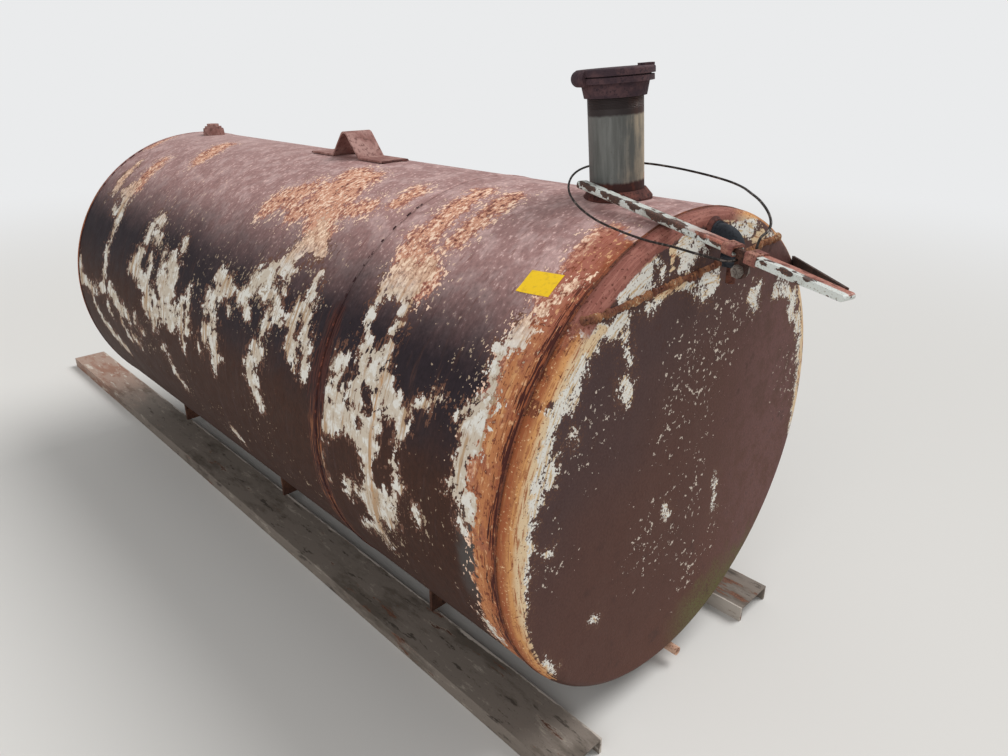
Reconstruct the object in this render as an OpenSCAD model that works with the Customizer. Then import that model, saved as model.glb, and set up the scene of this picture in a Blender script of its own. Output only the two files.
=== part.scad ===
// Horizontal steel storage tank on two channel skids, with flanged flat heads.
// Millimetres, +Z up. The origin is on the ground, in the middle of the length and the width.
// Stations along the tank are counted from the face of the front head, forwards positive.

/* [Tank] */
// Outside diameter of the shell
tank_d = 1219; // [900:1:1500]
// Length over the faces of both heads
tank_l = 2640; // [2000:10:3600]
// Thickness of the shell plate
shell_t = 5; // [3:0.5:10]
// Thickness of the head plate
head_t = 6; // [4:0.5:12]
// Outside radius of the head's turned knuckle
knuckle_r = 22; // [16:1:40]
// Depth of the head's flange, from its face back to the seam
flange_l = 36; // [36:1:80]
// Distance from the front face to the seam between the two shell courses
mid_seam_x = 705; // [500:5:1100]
// Width of a weld seam
seam_w = 6; // [4:0.5:10]
// Height of a weld seam above the plate
seam_h = 2.5; // [1:0.5:4]
// Distance of the joint between the two front head plates below the top of the shell
chord_down = 127.5; // [110:0.5:230]
// Slope of that joint in degrees
chord_tilt = 4; // [-5:0.5:5]
// Width of the rough bead along that joint
chord_bead_w = 15; // [8:1:24]
// Height of the rough bead along that joint
chord_bead_h = 4; // [2:0.5:6]

/* [Standpipe] */
// Outside diameter of the standpipe
pipe_d = 127; // [90:1:150]
// Wall of the standpipe
pipe_t = 6; // [3:0.5:10]
// Length of the standpipe seen between the shell and the cap
pipe_h = 221; // [120:1:300]
// Distance of the standpipe behind the front face
pipe_x = 260; // [200:5:480]
// Lean of the standpipe in degrees
pipe_lean = 4.5; // [0:0.5:8]
// Direction that it leans towards, in degrees from +X
pipe_lean_dir = 226; // [0:1:359]
// Height of the collar under the cap
collar_h = 30; // [20:1:50]
// Outside diameter of the cap's ring
cap_ring_d = 174; // [168:1:175]
// Thickness of the cap's ring
cap_ring_t = 12; // [8:1:20]
// Outside diameter of the lid
lid_d = 178; // [168:1:200]
// Thickness of the lid
lid_t = 15; // [12:1:24]
// Height of the rolled rim that hangs down round one side of the lid
rim_h = 36; // [30:1:40]

/* [Lifting lug] */
// Width of the bent strap
lug_w = 100; // [60:1:140]
// Thickness of the bent strap
lug_t = 6; // [4:0.5:10]
// Height of the arch, inside
lug_h = 76; // [60:1:110]
// Half width of the arch at its foot, inside
lug_half = 75; // [55:1:100]
// Length of each flat foot
lug_foot = 130; // [60:5:180]
// Distance of the arch behind the front face
lug_x = 1345; // [1000:5:1600]

/* [Fittings] */
// Outside diameter of the rear coupling
bung_d = 82; // [70:1:110]
// Height of the rear coupling
bung_h = 26; // [18:1:40]
// Distance of the rear coupling in front of the rear face
bung_in = 190; // [110:5:600]
// Outside diameter of the elbow's rims
elbow_rim_d = 54; // [50:1:60]
// Outside diameter of the elbow's body
elbow_d = 46; // [44:1:49]
// Bore of the elbow
elbow_bore_d = 38; // [34:1:40]
// Bend radius of the elbow
elbow_bend_r = 32; // [30:1:45]
// Distance of the elbow's inlet below the top of the shell
elbow_down = 47.5; // [47.5:0.5:70]
// Sideways place of the elbow
elbow_y = 6; // [-40:1:40]
// Outside diameter of the drop nipple
nipple_d = 21.3; // [17:0.1:26]
// Length of the drop nipple seen under its bush
nipple_h = 38; // [20:1:100]
// Outside diameter of the drain pipe
drain_d = 26; // [22:1:30]
// Distance of the drain's elbow behind the front face
drain_x = 70; // [60:1:200]
// Sideways place of the drain
drain_y = 50; // [0:1:120]

/* [Bar and stay] */
// Length of the bar over both arms
bar_l = 718; // [680:1:760]
// Width of the bar's section
bar_w = 30; // [26:1:32]
// Height of the bar's section
bar_h = 16; // [14:0.5:18]
// Wall of the bar
bar_t = 2.5; // [2:0.5:4]
// Length of the left arm
left_arm_l = 480; // [440:1:490]
// Gap between the two arms
arm_gap = 31; // [24:1:50]
// Length of each clamp
clamp_l = 25; // [18:1:34]
// Width of the stay at its root
stay_root_w = 34; // [26:1:40]
// Width of the stay at its tip
stay_tip_w = 16; // [10:1:20]
// Thickness of the stay
stay_t = 6; // [4:0.5:10]

/* [Skids and saddles] */
// Width of a skid channel
skid_w = 152; // [100:1:200]
// Height of a skid channel
skid_h = 49; // [38:1:75]
// Thickness of the channel's web
web_t = 5; // [4:0.5:10]
// Thickness of the channel's flanges
flange_t = 8; // [6:0.5:12]
// Distance from the centre to the inner edge of a skid
skid_in = 335; // [250:1:420]
// Length of the skids behind the rear head
skid_over = 960; // [200:10:1200]
// Length of the skids in front of the front head
skid_front = 50; // [0:5:200]
// Height of the tank's underside above the skids
tank_lift = 20; // [16:1:60]
// Distance of the front saddle behind the front face
saddle_front_x = 600; // [400:10:640]
// Distance of the rear saddle in front of the rear face
saddle_rear_in = 240; // [120:10:500]
// Thickness of a saddle's upright plate
saddle_t = 10; // [6:1:16]
// Length of a saddle's curved strap, along the tank
strap_w = 90; // [60:1:160]
// Thickness of a saddle's curved strap
strap_t = 6; // [4:1:10]

/* [Hidden] */
$fn = 64;

// Running gap where a curved face lies on another
seat_gap = 0.3;
// Overshoot of a cut past the face that it opens
cut = 1;
tank_r = tank_d / 2;
axis_z = skid_h + tank_lift + tank_r;
chord_h = tank_r - chord_down;
bung_x = tank_l - bung_in;
elbow_z = tank_r - elbow_down;

// Shell courses, from the face of the front head
front_start = flange_l + seam_w;
front_end = mid_seam_x - seam_w / 2;
rear_start = mid_seam_x + seam_w / 2;
rear_end = tank_l - flange_l - seam_w;
// The long seams lie on the underside, one to each side
rear_seam_angle = 140;
front_seam_angle = -140;

// The standpipe stands through the shell
pipe_inside = 30;
pipe_r = pipe_d / 2;
pipe_weld_w = 19;
pipe_weld_h = 18;
pipe_weld_top = 5;
collar_wall = 7;
collar_flare = 6;
collar_bite = 24;
// Gap that a gasket holds open under the lid
lid_gap = 3;
gasket_in = 9;
lid_edge_r = 5;
rim_w = 11;
rim_spread = 72;
pad_l = 30;
pad_w = 46;
pad_h = 5;

// Inside radius of the lug's peak
lug_peak_r = 18;

// The bar leans on the standpipe and on the head's edge, and points down and forwards
bar_back = 39;
bar_aside = 84;
bar_up = 32;
bar_start = [-pipe_x - bar_back, -bar_aside, tank_r + bar_up];
bar_turn = -12.5;
bar_drop = 7;
bar_corner = 5;
channel_corner = 0.5;
arm_end_h = 12;
tip_l = 30;
right_arm_x = left_arm_l + arm_gap;
right_arm_l = bar_l - tip_l - right_arm_x;
clamp_t = 3;
clamp_hole = 5;
link_t = 8;
link_bite = 30;
link_side = 1;
bolt_out = 14;
bolt_drop = 34;
bolt_d = 10;
nut_af = 22;
nut_t = 9;
// Rounded tip, and how far forwards it reaches
tip_r = arm_end_h / 2;
tip_centre = bar_l - tip_r;
bar_reach = bar_start[0] + tip_centre * cos(bar_drop) * cos(bar_turn)
  + tip_r * cos(bar_turn) + bar_w / 2 * abs(sin(bar_turn));
// The stay's foot, at an angle to the right of the top and part of the way round the knuckle
stay_angle = 45.8;
stay_round = 39;
stay_out = tank_r - knuckle_r * (1 - sin(stay_round));
stay_foot = [knuckle_r * (cos(stay_round) - 1),
             stay_out * sin(stay_angle), stay_out * cos(stay_angle)];
stay_heel = 6;
stay_bite = 18;

// Lengthwise place of the front face, with the origin in the middle of everything
skid_l = skid_over + tank_l + skid_front;
face_x = (tank_l + skid_over - bar_reach) / 2;
saddle_rear_x = tank_l - saddle_rear_in;
saddle_mid_x = (saddle_front_x + saddle_rear_x) / 2;
saddle_spread = 34;
saddle_bear = 15;

elbow_leg = 22;
elbow_rim_l = 14;
bush_af = 44;
bush_h = 9;
bush_in = 12;
elbow_weld_l = 9;
elbow_weld_w = 9;
elbow_weld_top = 3;
nipple_wall = 2.8;
// How much thinner the nipple's thread is, inside the bush
nipple_thread = 0.6;
// The rear coupling's wall and its wider foot, and the plug's head and boss
coupling_wall = 11;
coupling_foot = 3;
plug_head_in = 7;
plug_head_h = 8;
plug_boss_in = 17;
plug_boss_h = 10;
drain_wall = 3;
drain_hole_in = 4;
drain_fall = 24;
drain_bend_r = 22;
drain_out = 12;
drain_z = -tank_r - drain_fall;
wire_d = 5;
// Points of the wire, from the right clamp round the standpipe to the left clamp.
// They are counted from the front face and from the top of the shell.
wire_points = [
  [204, -193, -16], [205, -184, 3], [208, -165, 13], [203, -149, 26], [181, -123, 39],
  [140, -78, 48], [95, -30, 51], [48, 18, 53], [-10, 56, 56], [-90, 80, 61],
  [-175, 90, 66], [-250, 88, 68], [-310, 62, 66], [-345, 15, 62], [-340, -40, 58],
  [-318, -95, 51], [-290, -140, 40], [-262, -170, 27], [-230, -190, 14], [-190, -206, 1],
  [-140, -221, -10], [-80, -228, -20], [-20, -217, -32], [42, -212, -36], [105, -212, -41],
  [146, -212, -43], [165, -205, -43], [170, -194, -42]
];

// Turns its children from the ground frame to the front head's face, on the tank's axis
module at_face() {
  translate([face_x, 0, axis_z]) children();
}

// A round bar or a hole along the tank, from one station back to another
module along(x0, x1, r) {
  translate([-x1, 0, 0]) rotate([0, 90, 0]) cylinder(h = x1 - x0, r = r, $fn = 180);
}

// The rounded section of a weld bead, flat side down
module bead_section(w, h) {
  r = (w * w / 4 + h * h) / (2 * h);
  intersection() {
    translate([0, h - r]) circle(r = r);
    translate([-w / 2, 0]) square([w, h]);
  }
}

// A rectangle with round corners, centred
module soft_oblong(w, h, r) {
  square([w, h - 2 * r], center = true);
  square([w - 2 * r, h], center = true);
  for (x = [-1, 1], y = [-1, 1]) translate([x * (w / 2 - r), y * (h / 2 - r)])
    circle(r = r, $fn = 32);
}

// A ring of weld between two plates of the shell
module ring_weld(x0) {
  translate([-x0 - seam_w, 0, 0]) rotate([0, 90, 0]) rotate_extrude($fn = 180) {
    translate([tank_r - shell_t, 0]) square([shell_t, seam_w]);
    translate([tank_r, seam_w / 2]) rotate(-90) bead_section(seam_w, seam_h);
  }
}

// A straight weld along a course, at an angle from the top
module long_weld(x0, x1, angle) {
  rotate([angle, 0, 0]) translate([-x1, 0, tank_r - shell_t]) rotate([90, 0, 90])
    linear_extrude(x1 - x0) {
      translate([-seam_w / 2, 0]) square([seam_w, shell_t]);
      translate([0, shell_t]) bead_section(seam_w, seam_h);
    }
}

module long_slot(x0, x1, angle) {
  rotate([angle, 0, 0]) translate([-x1 - cut, -seam_w / 2, tank_r - 2 * shell_t])
    cube([x1 - x0 + 2 * cut, seam_w, 3 * shell_t]);
}

module course(x0, x1, angle) {
  difference() {
    along(x0, x1, tank_r);
    along(x0 - cut, x1 + cut, tank_r - shell_t);
    long_slot(x0, x1, angle);
  }
}

// A head's outline from its axis to its rim, with the face up
module head_outline(r, k, h) {
  square([r - k, h]);
  square([r, h - k]);
  translate([r - k, h - k]) circle(r = k);
}

module head_pan() {
  rotate_extrude($fn = 180) difference() {
    intersection() {
      head_outline(tank_r, knuckle_r, flange_l);
      square([tank_r, flange_l]);
    }
    translate([0, -cut])
      head_outline(tank_r - head_t, knuckle_r - head_t, flange_l - head_t + cut);
  }
}

module front_pan() {
  translate([-flange_l, 0, 0]) rotate([0, 90, 0]) head_pan();
}

// The space above the joint of the front head plates
module above_chord() {
  rotate([chord_tilt, 0, 0]) translate([-tank_r, -tank_d, chord_h])
    cube([tank_d, 2 * tank_d, tank_d]);
}

module on_pipe() {
  translate([-pipe_x, 0, tank_r]) rotate([0, 0, pipe_lean_dir]) rotate([0, pipe_lean, 0])
    children();
}

module on_bar(u = 0) {
  translate(bar_start) rotate([0, 0, bar_turn]) rotate([0, bar_drop, 0])
    translate([u, 0, 0]) children();
}

// A point on the bar, counted from its rear end
function bar_point(u, y = 0) = bar_start
  + u * [cos(bar_drop) * cos(bar_turn), cos(bar_drop) * sin(bar_turn), -sin(bar_drop)]
  + y * [-sin(bar_turn), cos(bar_turn), 0];

module shell_rear_course() {
  color("#4a3432") at_face() course(rear_start, rear_end, rear_seam_angle);
}

module shell_front_course() {
  color("#523a36") at_face() difference() {
    course(front_start, front_end, front_seam_angle);
    on_pipe() translate([0, 0, -2 * pipe_inside])
      cylinder(h = 4 * pipe_inside, r = pipe_r + seat_gap);
    translate([-drain_x, drain_y, -tank_r - shell_t])
      cylinder(h = 4 * shell_t, d = drain_d - 2 * drain_hole_in);
  }
}

module rear_long_seam() {
  color("#6b3f2e") at_face() long_weld(rear_start, rear_end, rear_seam_angle);
}

module front_long_seam() {
  color("#6b3f2e") at_face() long_weld(front_start, front_end, front_seam_angle);
}

module mid_seam_weld() {
  color("#5b342a") at_face() ring_weld(front_end);
}

module front_seam_weld() {
  color("#6b3f2e") at_face() ring_weld(flange_l);
}

module rear_seam_weld() {
  color("#6b3f2e") at_face() ring_weld(rear_end);
}

module front_head_lower() {
  color("#4d3535") at_face() difference() {
    front_pan();
    above_chord();
  }
}

module front_head_top() {
  color("#b98a63") at_face() difference() {
    intersection() {
      front_pan();
      above_chord();
    }
    translate([-2 * head_t, elbow_y, elbow_z]) rotate([0, 90, 0])
      cylinder(h = 3 * head_t, d = elbow_bore_d);
  }
}

module head_chord_weld() {
  flat_r = tank_r - knuckle_r;
  half = sqrt(flat_r * flat_r - pow(chord_h + chord_bead_w / 2, 2));
  color("#7a4a2c") at_face() rotate([chord_tilt, 0, 0]) translate([0, half, chord_h])
    rotate([90, 0, 0]) rotate([0, 0, -90]) linear_extrude(2 * half)
      bead_section(chord_bead_w, chord_bead_h);
}

module rear_head() {
  color("#4a3432") at_face() translate([flange_l - tank_l, 0, 0]) rotate([0, -90, 0])
    head_pan();
}

module standpipe() {
  color("#7d7a70") at_face() on_pipe() translate([0, 0, -pipe_inside]) difference() {
    cylinder(h = pipe_inside + pipe_h + collar_bite, r = pipe_r);
    translate([0, 0, -cut])
      cylinder(h = pipe_inside + pipe_h + collar_bite + 2 * cut, r = pipe_r - pipe_t);
  }
}

module standpipe_weld() {
  color("#5a3226") at_face() difference() {
    on_pipe() difference() {
      union() {
        translate([0, 0, -pipe_weld_h])
          cylinder(h = pipe_weld_h, r = pipe_r + pipe_weld_w);
        cylinder(h = pipe_weld_h, r1 = pipe_r + pipe_weld_w, r2 = pipe_r + pipe_weld_top);
      }
      translate([0, 0, -pipe_weld_h - cut])
        cylinder(h = 2 * pipe_weld_h + 2 * cut, r = pipe_r + seat_gap);
    }
    along(pipe_x - 2 * pipe_d, pipe_x + 2 * pipe_d, tank_r + seat_gap);
  }
}

module cap_collar() {
  bottom_r = pipe_r + collar_wall;
  color("#4a2a24") at_face() on_pipe() translate([0, 0, pipe_h]) difference() {
    cylinder(h = collar_h, r1 = bottom_r, r2 = bottom_r + collar_flare);
    translate([0, 0, -cut]) cylinder(h = collar_h + 2 * cut, r = pipe_r + seat_gap);
  }
}

module cap_ring() {
  color("#42261f") at_face() on_pipe() translate([0, 0, pipe_h + collar_h]) difference() {
    cylinder(h = cap_ring_t, d = cap_ring_d);
    translate([0, 0, -cut]) cylinder(h = cap_ring_t + 2 * cut, r = pipe_r - pipe_t);
  }
}

// The lid is a flat plate on a gasket, and its rolled rim hangs past the ring on one side
module cap_lid() {
  color("#4a2c26") at_face() on_pipe() translate([0, 0, pipe_h + collar_h + cap_ring_t]) {
    cylinder(h = lid_gap, d = lid_d - 2 * gasket_in);
    translate([0, 0, lid_gap]) rotate_extrude() {
      square([lid_d / 2 - lid_edge_r, lid_t]);
      square([lid_d / 2, lid_t - lid_edge_r]);
      translate([lid_d / 2 - lid_edge_r, lid_t - lid_edge_r]) circle(r = lid_edge_r, $fn = 32);
    }
    rotate([0, 0, -rim_spread / 2]) rotate_extrude(angle = rim_spread)
      translate([cap_ring_d / 2 + seat_gap, lid_gap + lid_t - rim_h / 2]) rim_section();
    rotate([0, 0, 180]) translate([lid_d / 2 - lid_edge_r - pad_l, -pad_w / 2, lid_gap + lid_t])
      cube([pad_l, pad_w, pad_h]);
  }
}

// The outer side of a round bar, flat towards the ring
module rim_section() {
  intersection() {
    translate([rim_w - rim_h / 2, 0]) circle(d = rim_h);
    translate([0, -rim_h / 2]) square([rim_w, rim_h]);
  }
}

// Outline of the bent strap, drawn from its two feet to a round peak
module lug_outline(grow) {
  hull() {
    translate([0, lug_h - lug_peak_r]) circle(r = lug_peak_r + grow, $fn = 48);
    translate([-lug_half - grow, 0]) square([2 * (lug_half + grow), 0.1]);
  }
}

module lifting_lug() {
  foot_end = lug_half + lug_foot;
  color("#8a6055") at_face() translate([-lug_x, lug_w / 2, tank_r + seat_gap])
    rotate([90, 0, 0]) linear_extrude(lug_w) difference() {
      union() {
        translate([-foot_end, 0]) square([2 * foot_end, lug_t]);
        lug_outline(lug_t);
      }
      translate([0, -0.1]) lug_outline(0);
    }
}

module lug_welds() {
  foot_end = lug_half + lug_foot;
  color("#6b3f2e") at_face() for (s = [-1, 1])
    translate([-lug_x + s * foot_end, -lug_w / 2, tank_r + seat_gap])
      mirror([s < 0 ? 1 : 0, 0, 0]) rotate([-90, 0, 0]) linear_extrude(lug_w)
        intersection() {
          circle(r = lug_t);
          translate([0, -lug_t]) square([lug_t, lug_t]);
        }
}

module rear_coupling() {
  color("#7a5148") at_face() difference() {
    translate([-bung_x, 0, tank_r - shell_t])
      cylinder(h = bung_h + shell_t, d1 = bung_d + 2 * coupling_foot, d2 = bung_d);
    along(bung_x - bung_d, bung_x + bung_d, tank_r + seat_gap);
    translate([-bung_x, 0, tank_r - shell_t])
      cylinder(h = bung_h + 2 * shell_t, d = bung_d - 2 * coupling_wall);
  }
}

module rear_plug() {
  color("#6e4a42") at_face() translate([-bung_x, 0, tank_r + bung_h]) {
    translate([0, 0, -bung_h / 2])
      cylinder(h = bung_h / 2, d = bung_d - 2 * (coupling_wall + seat_gap));
    cylinder(h = plug_head_h, d = bung_d - 2 * plug_head_in);
    translate([0, 0, plug_head_h]) cylinder(h = plug_boss_h, d = bung_d - 2 * plug_boss_in);
  }
}

// A bent pipe, from a leg along +X to a leg straight down
module bend(d, r, leg_in, leg_out) {
  rotate([0, 90, 0]) cylinder(h = leg_in, d = d);
  translate([leg_in, 0, -r]) rotate([90, 0, 0]) rotate_extrude(angle = 90)
    translate([r, 0]) circle(d = d);
  translate([leg_in + r, 0, -r - leg_out]) cylinder(h = leg_out, d = d);
}

module elbow() {
  down = elbow_bend_r + elbow_leg;
  color("#23262c") at_face() translate([seat_gap, elbow_y, elbow_z]) difference() {
    union() {
      bend(elbow_d, elbow_bend_r, elbow_leg, elbow_leg);
      rotate([0, 90, 0]) cylinder(h = elbow_rim_l, d = elbow_rim_d);
      translate([down, 0, -down]) cylinder(h = elbow_rim_l, d = elbow_rim_d);
    }
    bend(elbow_bore_d, elbow_bend_r, elbow_leg, elbow_leg);
    translate([-cut, 0, 0]) rotate([0, 90, 0]) cylinder(h = 2 * cut, d = elbow_bore_d);
    translate([down, 0, -down - cut]) cylinder(h = 2 * cut, d = elbow_bore_d);
  }
}

module elbow_weld() {
  color("#5a3020") at_face() translate([0, elbow_y, elbow_z]) rotate([0, 90, 0])
    difference() {
    cylinder(h = elbow_weld_l, d1 = elbow_rim_d + 2 * elbow_weld_w,
      d2 = elbow_rim_d + 2 * elbow_weld_top);
    translate([0, 0, -cut])
      cylinder(h = elbow_weld_l + 2 * cut, d = elbow_rim_d + 2 * seat_gap);
  }
}

// Place of the elbow's lower rim
module under_elbow() {
  down = elbow_bend_r + elbow_leg;
  translate([seat_gap + down, elbow_y, elbow_z - down]) children();
}

module elbow_bush() {
  color("#3a2a26") at_face() under_elbow() difference() {
    union() {
      cylinder(h = bush_in, d = elbow_bore_d - 2 * seat_gap);
      translate([0, 0, -bush_h]) cylinder(h = bush_h, d = bush_af / cos(30), $fn = 6);
    }
    translate([0, 0, -bush_h - cut])
      cylinder(h = bush_h + bush_in + 2 * cut, d = nipple_d - nipple_thread + 2 * seat_gap);
  }
}

module drop_nipple() {
  whole = nipple_h + bush_h + bush_in;
  color("#4a2620") at_face() under_elbow() translate([0, 0, -bush_h - nipple_h]) difference() {
    union() {
      cylinder(h = nipple_h, d = nipple_d);
      cylinder(h = whole, d = nipple_d - nipple_thread);
    }
    translate([0, 0, -cut]) cylinder(h = whole + 2 * cut, d = nipple_d - 2 * nipple_wall);
  }
}

module left_arm() {
  color("#cfd3cc") at_face() on_bar() rotate([90, 0, 90]) linear_extrude(left_arm_l)
    difference() {
      soft_oblong(bar_w, bar_h, bar_corner);
      soft_oblong(bar_w - 2 * bar_t, bar_h - 2 * bar_t, bar_corner - bar_t);
    }
}

// A band round the end of an arm, with two square holes in its top
module clamp(u, corner) {
  grow = 2 * (seat_gap + clamp_t);
  on_bar(u) difference() {
    rotate([90, 0, 90]) linear_extrude(clamp_l) difference() {
      soft_oblong(bar_w + grow, bar_h + grow, corner + clamp_t);
      soft_oblong(bar_w + 2 * seat_gap, bar_h + 2 * seat_gap, corner + seat_gap);
    }
    for (i = [1, 3]) translate([i * clamp_l / 4 - clamp_hole / 2, -clamp_hole / 2, 0])
      cube([clamp_hole, clamp_hole, bar_h]);
  }
}

module left_clamp() {
  color("#8a5548") at_face() clamp(left_arm_l - clamp_l, bar_corner);
}

module right_clamp() {
  color("#a8705f") at_face() clamp(right_arm_x, channel_corner);
}

// The flat link between the arms, with an ear that hangs down
module hinge_link() {
  link_h = bar_h - 2 * (bar_t + link_side);
  color("#33211d") at_face() on_bar(left_arm_l) difference() {
    union() {
      translate([-link_bite, -link_t / 2, -link_h / 2])
        cube([arm_gap + 2 * link_bite, link_t, link_h]);
      translate([link_side, -link_t / 2, -bolt_drop])
        cube([arm_gap - 2 * link_side, link_t, bolt_drop]);
      translate([arm_gap / 2, link_t / 2, -bolt_drop]) rotate([90, 0, 0])
        cylinder(h = link_t, d = arm_gap - 2 * link_side);
    }
    translate([arm_gap / 2, link_t, -bolt_drop]) rotate([90, 0, 0])
      cylinder(h = 2 * link_t, d = bolt_d + 2 * seat_gap);
  }
}

module hinge_bolt() {
  color("#5c5652") at_face() on_bar(left_arm_l + arm_gap / 2)
    translate([0, 0, -bolt_drop]) rotate([90, 0, 0]) {
      translate([0, 0, -link_t / 2 - bolt_out])
        cylinder(h = link_t + 2 * bolt_out, d = bolt_d);
      for (z = [link_t / 2, -link_t / 2 - nut_t])
        translate([0, 0, z]) cylinder(h = nut_t, d = nut_af / cos(30), $fn = 6);
    }
}

// Side view of the right arm, which tapers to its tip
module arm_outline(inset, over) {
  full = right_arm_l * 0.55;
  root_h = bar_h / 2 - inset;
  end_h = arm_end_h / 2 - inset;
  polygon([
    [-over, root_h], [full, root_h], [right_arm_l, end_h], [right_arm_l + over, end_h],
    [right_arm_l + over, -end_h], [right_arm_l, -end_h], [full, -root_h], [-over, -root_h]
  ]);
}

module right_arm() {
  color("#b9b2aa") at_face() on_bar(right_arm_x) difference() {
    translate([0, bar_w / 2, 0]) rotate([90, 0, 0]) linear_extrude(bar_w) arm_outline(0, 0);
    translate([0, bar_w / 2 + cut, 0]) rotate([90, 0, 0])
      linear_extrude(bar_w + cut - bar_t) arm_outline(bar_t, cut);
  }
}

module arm_tip() {
  color("#a9a39b") at_face() on_bar(bar_l - tip_l) {
    translate([0, -bar_w / 2, -tip_r]) cube([tip_l - tip_r, bar_w, arm_end_h]);
    translate([tip_l - tip_r, bar_w / 2, 0]) rotate([90, 0, 0])
      cylinder(h = bar_w, r = tip_r);
  }
}

// A flat bar from the head's right knuckle to the side of the arm's tip
module arm_stay() {
  end = bar_point(bar_l - stay_bite, bar_w / 2);
  run = end - stay_foot;
  flat_run = norm([run[0], run[1]]);
  spare = 2 * bar_w;
  color("#33201b") at_face() difference() {
    translate(stay_foot) rotate([0, 0, atan2(run[1], run[0])])
      rotate([0, -atan2(run[2], flat_run), 0])
        translate([0, stay_t / 2, 0]) rotate([90, 0, 0]) linear_extrude(stay_t)
          polygon([
            [-stay_heel, -stay_root_w / 2], [norm(run) + spare, -stay_tip_w / 2],
            [norm(run) + spare, stay_tip_w / 2], [-stay_heel, stay_root_w / 2]
          ]);
    translate([-flange_l, 0, 0]) rotate([0, 90, 0]) rotate_extrude($fn = 180)
      head_outline(tank_r + seat_gap, knuckle_r + seat_gap, flange_l + seat_gap);
    on_bar() translate([0, bar_w / 2 + seat_gap - tank_r, -tank_r / 2])
      cube([bar_l + tank_r, tank_r, tank_r]);
  }
}

// A smooth curve through the points, a few steps to each stretch
function smooth(p0, p1, p2, p3, t) = 0.5 * (2 * p1 + (p2 - p0) * t
  + (2 * p0 - 5 * p1 + 4 * p2 - p3) * t * t + (3 * p1 - p0 - 3 * p2 + p3) * t * t * t);
function path_of(p, steps) = concat([
  for (i = [0 : len(p) - 2], k = [0 : steps - 1])
    smooth(p[max(i - 1, 0)], p[i], p[i + 1], p[min(i + 2, len(p) - 1)], k / steps)
], [p[len(p) - 1]]);
function unit(v) = v / norm(v);
function run_at(p, i) = unit(p[min(i + 1, len(p) - 1)] - p[max(i - 1, 0)]);
function ring_at(p, i, r, sides) = let (
  t = run_at(p, i), a = unit(cross(t, [0, 0, 1])), b = cross(t, a)
) [for (k = [0 : sides - 1]) p[i] + r * (cos(360 * k / sides) * a + sin(360 * k / sides) * b)];

module swept(p, d, sides) {
  n = len(p);
  points = [for (i = [0 : n - 1]) each ring_at(p, i, d / 2, sides)];
  walls = [for (i = [0 : n - 2], k = [0 : sides - 1]) let (m = (k + 1) % sides)
    [i * sides + k, i * sides + m, (i + 1) * sides + m, (i + 1) * sides + k]];
  start = [for (k = [sides - 1 : -1 : 0]) k];
  end = [for (k = [0 : sides - 1]) (n - 1) * sides + k];
  polyhedron(points = points, faces = concat([start], walls, [end]));
}

module wire_loop() {
  color("#2b2422") at_face() translate([0, 0, tank_r])
    swept(path_of(wire_points, 3), wire_d, 8);
}

// A curved strap under the shell on an upright plate that stands on both skids
module saddle(x) {
  strap_r = tank_r + seat_gap;
  plate_half = skid_in + saddle_bear;
  reach = 2 * tank_r;
  translate([-x, 0, 0]) rotate([90, 0, 90]) {
    translate([0, 0, -strap_w / 2]) linear_extrude(strap_w) difference() {
      intersection() {
        circle(r = strap_r + strap_t, $fn = 180);
        polygon([[0, 0], reach * [-sin(saddle_spread), -cos(saddle_spread)],
                 [0, -2 * reach], reach * [sin(saddle_spread), -cos(saddle_spread)]]);
      }
      circle(r = strap_r, $fn = 180);
    }
    translate([0, 0, -saddle_t / 2]) linear_extrude(saddle_t) difference() {
      translate([-plate_half, -tank_r - tank_lift])
        square([2 * plate_half, tank_r + tank_lift - strap_r * cos(saddle_spread)]);
      circle(r = strap_r + strap_t / 2, $fn = 180);
    }
  }
}

module saddle_front() {
  color("#5a3a30") at_face() saddle(saddle_front_x);
}

module saddle_mid() {
  color("#5a3a30") at_face() saddle(saddle_mid_x);
}

module saddle_rear() {
  color("#5a3a30") at_face() saddle(saddle_rear_x);
}

// A channel laid with its web up and its two flanges on the ground
module skid() {
  translate([face_x - tank_l - skid_over, skid_in, 0]) difference() {
    cube([skid_l, skid_w, skid_h]);
    translate([-cut, flange_t, -cut])
      cube([skid_l + 2 * cut, skid_w - 2 * flange_t, skid_h - web_t + cut]);
  }
}

module skid_left() {
  color("#b3a79b") mirror([0, 1, 0]) skid();
}

module skid_right() {
  color("#9a6a4c") skid();
}

// The drain is an elbow under the shell, with a short pipe that points forwards
module drain_elbow() {
  body_d = drain_d + 2 * drain_wall;
  color("#a8664f") at_face() difference() {
    translate([-drain_x, drain_y, drain_z]) union() {
      translate([0, 0, drain_bend_r]) cylinder(h = drain_fall, d = body_d);
      translate([drain_bend_r, 0, drain_bend_r]) rotate([90, 0, 0]) rotate([0, 0, 180])
        rotate_extrude(angle = 90) translate([drain_bend_r, 0]) circle(d = body_d);
    }
    along(drain_x - 2 * drain_d, drain_x + 2 * drain_d, tank_r + seat_gap);
  }
}

module drain_pipe() {
  start = drain_bend_r - drain_x;
  color("#b5765e") at_face() translate([start, drain_y, drain_z]) rotate([0, 90, 0])
    difference() {
      cylinder(h = drain_out - start, d = drain_d);
      translate([0, 0, drain_wall]) cylinder(h = drain_out - start, d = drain_d - 2 * drain_wall);
    }
}

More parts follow.
